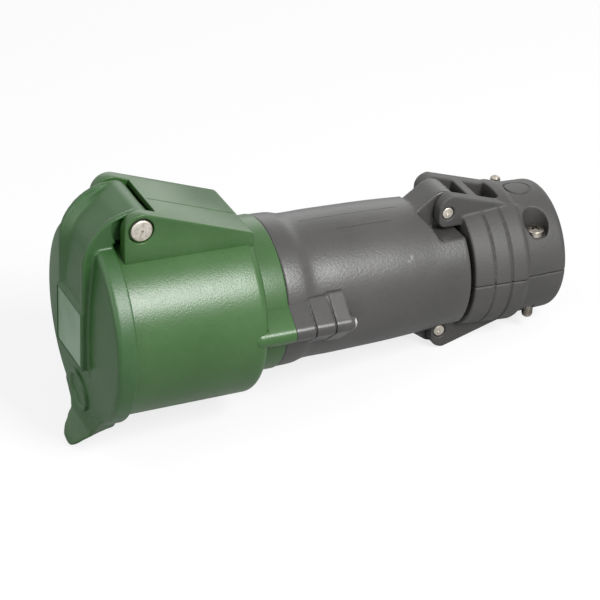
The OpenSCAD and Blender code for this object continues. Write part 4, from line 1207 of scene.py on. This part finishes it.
@dataclass
class Clamp:
    """The two jaws with their arms, and the screws that pull them together."""

    jaw_x: float = 161.8
    end_x: float = 206.5
    ring_front_r: float = 29.2
    ring_r: float = 30.7
    ring_len: float = 25.2
    barrel_r: float = 28.9
    tail_r: float = 28.1
    tail_round: float = 3
    mouth_r: float = 14
    # The ridges that grip the cable: radius, place of the last, spacing
    grip_r: float = 10
    ridge_x: float = 203.3
    ridge_step: float = 5.33
    pivot: Point = PIVOT
    # Inner and outer face of an arm, its lowest and highest place, and its slope in degrees
    arms: Point = (7.3, 12.8)
    arms_low: float = 22.0
    arms_top: float = 36.2
    slope: float = 16.5
    arm_root: float = 20.2
    # The two bars that tie the arms, as spans along the coupler
    bars: tuple[Point, Point] = ((166.2, 171.2), (181.5, 188.5))
    screw: Point = (194.1, 18.6)
    seat_z: float = 15.2
    screw_r: float = 2.4
    screw_core_r: float = 2.1
    screw_head_r: float = 4.2
    screw_tip: float = -24.86
    thread_step: float = 0.8
    ring_x: float = 194.2
    ring_pad_r: Point = (5.2, 6.1)

    def outline(self) -> list[Point]:
        """Outline of a jaw's section.

        Returns:
            Points as (x, radius).
        """
        rise, end, grip = self.ring_r - self.ring_front_r, self.jaw_x + self.ring_len, self.grip_r
        outer = [(self.jaw_x, self.ring_front_r - 0.5), (self.jaw_x + 0.4, self.ring_front_r)]
        for share, step in ((0.36, 0.4), (0.67, 0.75)):
            x, r = self.jaw_x + share * self.ring_len, self.ring_front_r + step * rise
            outer += [(x - 0.55, r), (x - 0.4, r - 1.0), (x + 0.4, r - 1.0), (x + 0.55, r)]
        outer += [(end - 1.8, self.ring_r), (end - 0.6, self.ring_r - 0.45),
                  (end, self.ring_r - 1.5), (end + 0.5, self.barrel_r - 0.24),
                  (end + 1.5, self.barrel_r - 0.32)]
        r = self.tail_round
        outer += arc((self.end_x - r, self.tail_r - r), r, 90, 0, 8)
        inner = [(self.end_x, self.mouth_r), (self.end_x - 3.2, 12.5)]
        for i in range(3):
            x = self.ridge_x - i * self.ridge_step
            inner += [(x - 0.5, grip), (x - 3.7, grip), (x - 4.0, 10.8), (x - 5.0, 10.8)]
        return outer + inner + [(187.3, grip), (187.3, 24.9), (165, 26), (165, self.mouth_r),
                                (self.jaw_x, self.mouth_r)]

    def arm(self) -> list[Point]:
        """Side view of an arm.

        Returns:
            Points as (x, z).
        """
        (px, _), low, top, root = self.pivot, self.arms_low, self.arms_top, self.arm_root
        nose, toe_r, brow_r = px - 4.2, 3.15, 6
        end = px + (top - low) / tan(radians(self.slope))
        return (arc((nose + toe_r, low + toe_r), toe_r, 270, 180, 6)
                + arc((nose + brow_r, top - brow_r), brow_r, 180, 90, 10)
                + [(px + 2.1, top), (end, low), (end, root), (self.jaw_x, root),
                   (self.jaw_x, low)])

    def jaw(self, name: str, head_side: int) -> Solid:
        """Builds one jaw as an upper one.

        Args:
            name: Its name.
            head_side: Side of the recess for the pivot pin's head, -1 near or 1 far.

        Returns:
            The jaw, with the bare ring on its top.
        """
        piece = lathe(name, self.outline(), 128)
        inner, outer = self.arms
        (px, pz), (sx, sy) = self.pivot, self.screw
        for y0, y1 in ((-outer, -inner), (inner, outer)):
            add(piece, extrude("arm", self.arm(), Along.Y, y0, y1))
        for x0, x1 in self.bars:
            bar = extrude("bar", self.arm(), Along.Y, -inner - 0.5, inner + 0.5)
            add(piece, combine(bar, block("reach", (x0, -10, 20), (x1, 10, 40)), Cut.KEEP))
        for side in (-1, 1):
            boss = rod("boss", (sx, side * sy, 0.1), (sx, side * sy, 34), 7.6)
            skin = rod("skin", (180, 0, 0), (204.9, 0, 0), 27.6, 96)
            add(piece, combine(boss, skin, Cut.KEEP))
        (_, front), (middle, _) = self.bars
        cut(piece, block("below", (140, -PAST, -PAST), (210, PAST, 0.1)))
        cut(piece, block("front_room", (self.jaw_x - 1, -inner, 18.7),
                         (self.bars[0][0], inner, 40)))
        cut(piece, block("rear_room", (front, -inner, 23.2), (middle, inner, 40)))
        # Pivot pin, its head, clamp screw, its seat and its thread
        for x, y0, z0, y1, z1, radius in (
                (px, head_side * 14, pz, head_side * -11.6, pz, PIVOT_BORE_R),
                (px, head_side * 14, pz, head_side * 10.9, pz, 2.9),
                (sx, -sy, -1, -sy, 20, 2.8), (sx, -sy, self.seat_z, -sy, 40, 5.7),
                (sx, sy, -1, sy, 30, 2.46)):
            cut(piece, rod("hole", (x, y0, z0), (x, y1, z1), radius))
        mould(piece, 0.45, 3, 0.45)
        rx, (disc_r, ring_r) = self.ring_x, self.ring_pad_r
        ring = rod("ring", (rx, 0, 20), (rx, 0, 40), ring_r, 64)
        cut(ring, rod("disc", (rx, 0, 10), (rx, 0, 50), disc_r, 64))
        cut(ring, rod("floor", (180, 0, 0), (210, 0, 0), 28.0, 128))
        return smooth(cut(piece, ring), 50)

    def clamp_screw(self) -> Solid:
        """Builds the near screw: domed cross head, plain shank and threaded end.

        Returns:
            The screw.
        """
        tip, top, r, core = self.screw_tip, self.seat_z + 3.0, self.screw_r, self.screw_core_r
        head = [(top, 0)] + [(top - 1.1 * (1 - cos(radians(a))), 3.5 * sin(radians(a)))
                             for a in (25, 45, 60)] + arc((top - 1.35, 3.35), 0.85, 60, 0, 4)
        head += [(self.seat_z, self.screw_head_r), (self.seat_z, r), (-11.8, r)]
        thread, x = [], -12.0
        while x > tip + 1.2:
            thread += [(x, core), (x - 0.2, r), (x - 0.35, r), (x - 0.55, core)]
            x -= self.thread_step
        outline = head + thread + [(tip + 0.5, core), (tip, 1.6), (tip, 0)]
        piece = lathe("near_screw", outline, 40)
        for a, b in ((2.35, 0.5), (0.5, 2.35)):
            cut(piece, block("cross", (top - 1.9, -a, -b), (top + 1, a, b)))
        cut(piece, rod("cup", (top - 0.9, 0, 0), (top + 1, 0, 0), 0.95, 24))
        lay(piece, (self.screw[0], -self.screw[1], 0), (-pi / 2, "Y"), (0.5, "X"))
        return smooth(piece, 40)

    def build(self, wardrobe: Wardrobe) -> None:
        """Builds, dresses and delivers the clamp.

        Args:
            wardrobe: Where its finishes are made.
        """
        over = (pi, "X")
        upper = self.jaw("upper_jaw_shell", -1)
        lower = lay(self.jaw("lower_jaw_shell", 1), ORIGIN, over)
        for piece, node in ((upper, "upper_jaw"), (lower, "lower_jaw")):
            wardrobe.deliver(piece, JAW_GREY, Body.COUPLER, "grey_plastic", node)
        near = self.clamp_screw()
        far = lay(copy_of(near, "far_screw"), ORIGIN, over)
        for piece, node in ((near, "near_clamp_screw"), (far, "far_clamp_screw")):
            wardrobe.deliver(piece, ZINC, Body.COUPLER, "screw_steel", node)


# ---- pins


@dataclass
class Pin:
    """A turned pin along Y with a domed head on the near side."""

    name: str
    node: str
    place: Point
    head_r: float
    head_t: float
    seat_y: float
    end_y: float
    shank_r: float
    socket_r: float
    # Radius of the head's dome, as a share of its thickness, and the end's chamfer
    dome: float = 0.36
    chamfer: float = 0.4

    def build(self, wardrobe: Wardrobe) -> None:
        """Builds, dresses and delivers the pin.

        Args:
            wardrobe: Where its finish is made.
        """
        (px, pz), face, dome = self.place, self.seat_y - self.head_t, self.dome * self.head_t
        end, r = self.end_y, self.shank_r
        domed = [(face + dome * (1 - sin(a)), self.head_r - dome + dome * cos(a))
                 for a in (pi / 2 - pi * i / 16 for i in range(9))]
        outline = [(face - 0.05, 0)] + domed + [
            (self.seat_y, self.head_r), (self.seat_y, r), (end - self.chamfer, r),
            (end, r - self.chamfer), (end, 0)]
        piece = lay(lathe(self.name, outline, 72), (px, 0, pz), (pi / 2, "Z"))
        cut(piece, rod("socket", (px, face - 1, pz), (px, face + 0.5 * self.head_t, pz),
                       self.socket_r, 6))
        wardrobe.deliver(smooth(piece), STAINLESS, Body.COUPLER, "pin_steel", self.node)


PINS = (Pin("lid_pin", "hinge_pin", HINGE, 4.7, 2.2, -18.0, 20.2, 2.5, 0.8),
        Pin("upper_jaw_pin", "upper_pivot_pin", PIVOT, 2.6, 1.4, -11.0, 12.0, 2.0, 0.7),
        Pin("lower_jaw_pin", "lower_pivot_pin", (PIVOT[0], -PIVOT[1]), 2.6, 1.4, -11.0, 12.0,
            2.0, 0.7))


# ---- carried CAD nodes


CARRIED: dict[str, Finish] = {
    "lid_gasket": RUBBER, "hinge_nut": STAINLESS, "lid_spring": WIRE, "contact_insert": INSERT,
    "insert_back": INSERT, "insert_screw": STAINLESS, "contact_l1": BRASS, "contact_l2": BRASS,
    "contact_l3": BRASS, "contact_neutral": BRASS, "contact_earth": BRASS,
    "terminal_screws": STAINLESS, "head_seal": RUBBER, "cable_seal": RUBBER,
}


def dress_carried(wardrobe: Wardrobe) -> None:
    """Gives every CAD node that still shows its finish.

    Args:
        wardrobe: Where the finishes are made.
    """
    for name, finish in CARRIED.items():
        wardrobe.dress(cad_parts[name], finish)
        LOG.info("%s: CAD node in %s", name, finish.name)


# ---- the studio


@dataclass
class Studio:
    """Camera, soft light and the pale floor that the coupler rests on."""

    # The camera's place in millimetres, and its directions to the right and up
    eye: Place = (-305.21, -847.0, 510.36)
    right: Place = (0.912971, -0.406136, 0.039217)
    up: Place = (0.165708, 0.456891, 0.873952)
    lens: float = 152.05
    clip: Point = (0.05, 20)
    # The two places that touch the floor: the lift tab's tip and the lower arms
    tab_foot: Point = (-9.2, -56.3)
    arm_foot: Point = (155.0, -36.45)
    # Where every soft box looks, in metres
    aim: Place = (0.09, 0, 0)
    # The soft boxes: name, place and size in metres, power in watts
    boxes: tuple[tuple[str, Place, Point, float], ...] = (
        ("key_box", (0.30, -0.76, 0.68), (0.32, 0.46), 10.5),
        ("front_box", (-1.2, -0.4, 0.6), (0.8, 0.8), 4.6),
        ("back_box", (0.75, 1.15, 0.55), (1.8, 0.8), 4.6),
        ("top_box", (-0.5, 0.0, 1.1), (0.7, 0.7), 2))
    sky: float = 0.3
    floor_size: float = 6

    def camera(self) -> None:
        """Puts the camera where the photograph was taken from."""
        data = bpy.data.cameras.new("camera")
        data.lens = self.lens
        data.clip_start, data.clip_end = self.clip
        shot = bpy.data.objects.new("camera", data)
        right, up = Vector(self.right), Vector(self.up)
        turn = Matrix((right, up, right.cross(up))).transposed().to_4x4()
        shot.matrix_world = Matrix.Translation(Vector(self.eye) * MM) @ turn
        bpy.context.collection.objects.link(shot)
        bpy.context.scene.camera = shot

    def lamp(self, name: str, place: Place, size: Point, power: float) -> None:
        """Adds one soft box that faces the coupler's middle.

        Args:
            name: Its name.
            place: Its place, in metres.
            size: Its width and height, in metres.
            power: Its power, in watts.
        """
        data = bpy.data.lights.new(name, "AREA")
        data.shape, data.size, data.size_y = "RECTANGLE", size[0], size[1]
        data.energy = power
        box = bpy.data.objects.new(name, data)
        look = (Vector(self.aim) - Vector(place)).to_track_quat("-Z", "Y")
        box.matrix_world = Matrix.Translation(Vector(place)) @ look.to_matrix().to_4x4()
        bpy.context.collection.objects.link(box)

    def world(self) -> None:
        """Lights the scene from a pale sky that camera, metal and gloss see as white."""
        world = bpy.data.worlds.new("pale_studio")
        bpy.context.scene.world = world
        world.use_nodes = True
        tree = world.node_tree
        tree.nodes.clear()
        rays = put(tree, "LightPath").outputs
        seen = put(tree, "Math", {0: rays["Is Camera Ray"], 1: rays["Is Transmission Ray"]},
                   operation="MAXIMUM")
        seen = put(tree, "Math", {0: seen, 1: rays["Is Glossy Ray"]}, operation="MAXIMUM")
        soft = put(tree, "Background", {0: linear("F4F6F8"), 1: self.sky})
        white = put(tree, "Background", {0: linear("FFFFFF"), 1: 1.0})
        put(tree, "OutputWorld", {0: put(tree, "MixShader", {0: seen, 1: soft, 2: white})})

    def floor(self) -> None:
        """Lays the floor under the two places that the coupler rests on."""
        clear_selection()
        (x0, z0), (x1, z1) = self.tab_foot, self.arm_foot
        slope = atan2(z1 - z0, x1 - x0)
        bpy.ops.mesh.primitive_plane_add(size=self.floor_size, location=(x0 * MM, 0, z0 * MM),
                                         rotation=(0, -slope, 0))
        ground = bpy.context.object
        ground.name = "studio_floor"
        # Matt white paper: the camera sees it glow, so that it is white but keeps the shadow
        material = bpy.data.materials.new("matt_white_paper")
        material.use_nodes = True
        tree = material.node_tree
        tree.nodes.clear()
        seen = put(tree, "LightPath").outputs["Is Camera Ray"]
        tint = put(tree, "Mix", {"Factor": seen, "A": linear("C8C8C8"), "B": linear("F4F4F4")},
                   data_type="RGBA").outputs["Result"]
        paper = put(tree, "BsdfDiffuse", {0: tint})
        glow = put(tree, "Emission", {0: linear("FFFFFF"), 1: 1.04})
        share = put(tree, "Math", {0: seen, 1: 0.75}, operation="MULTIPLY")
        put(tree, "OutputMaterial", {0: put(tree, "MixShader", {0: share, 1: paper, 2: glow})})
        ground.data.materials.append(material)

    def build(self) -> None:
        """Sets up the light and the floor."""
        self.world()
        self.floor()
        for box in self.boxes:
            self.lamp(*box)
        bpy.context.scene.view_settings.view_transform = "Standard"


def main() -> None:
    """Builds the coupler and its studio in order."""
    studio = Studio()
    studio.camera()
    wardrobe = Wardrobe()
    for part in (Head(), Lid(), Handle(), Clamp(), *PINS):
        part.build(wardrobe)
    dress_carried(wardrobe)
    studio.build()
    clear_selection()


if __name__ == "__main__":
    main()
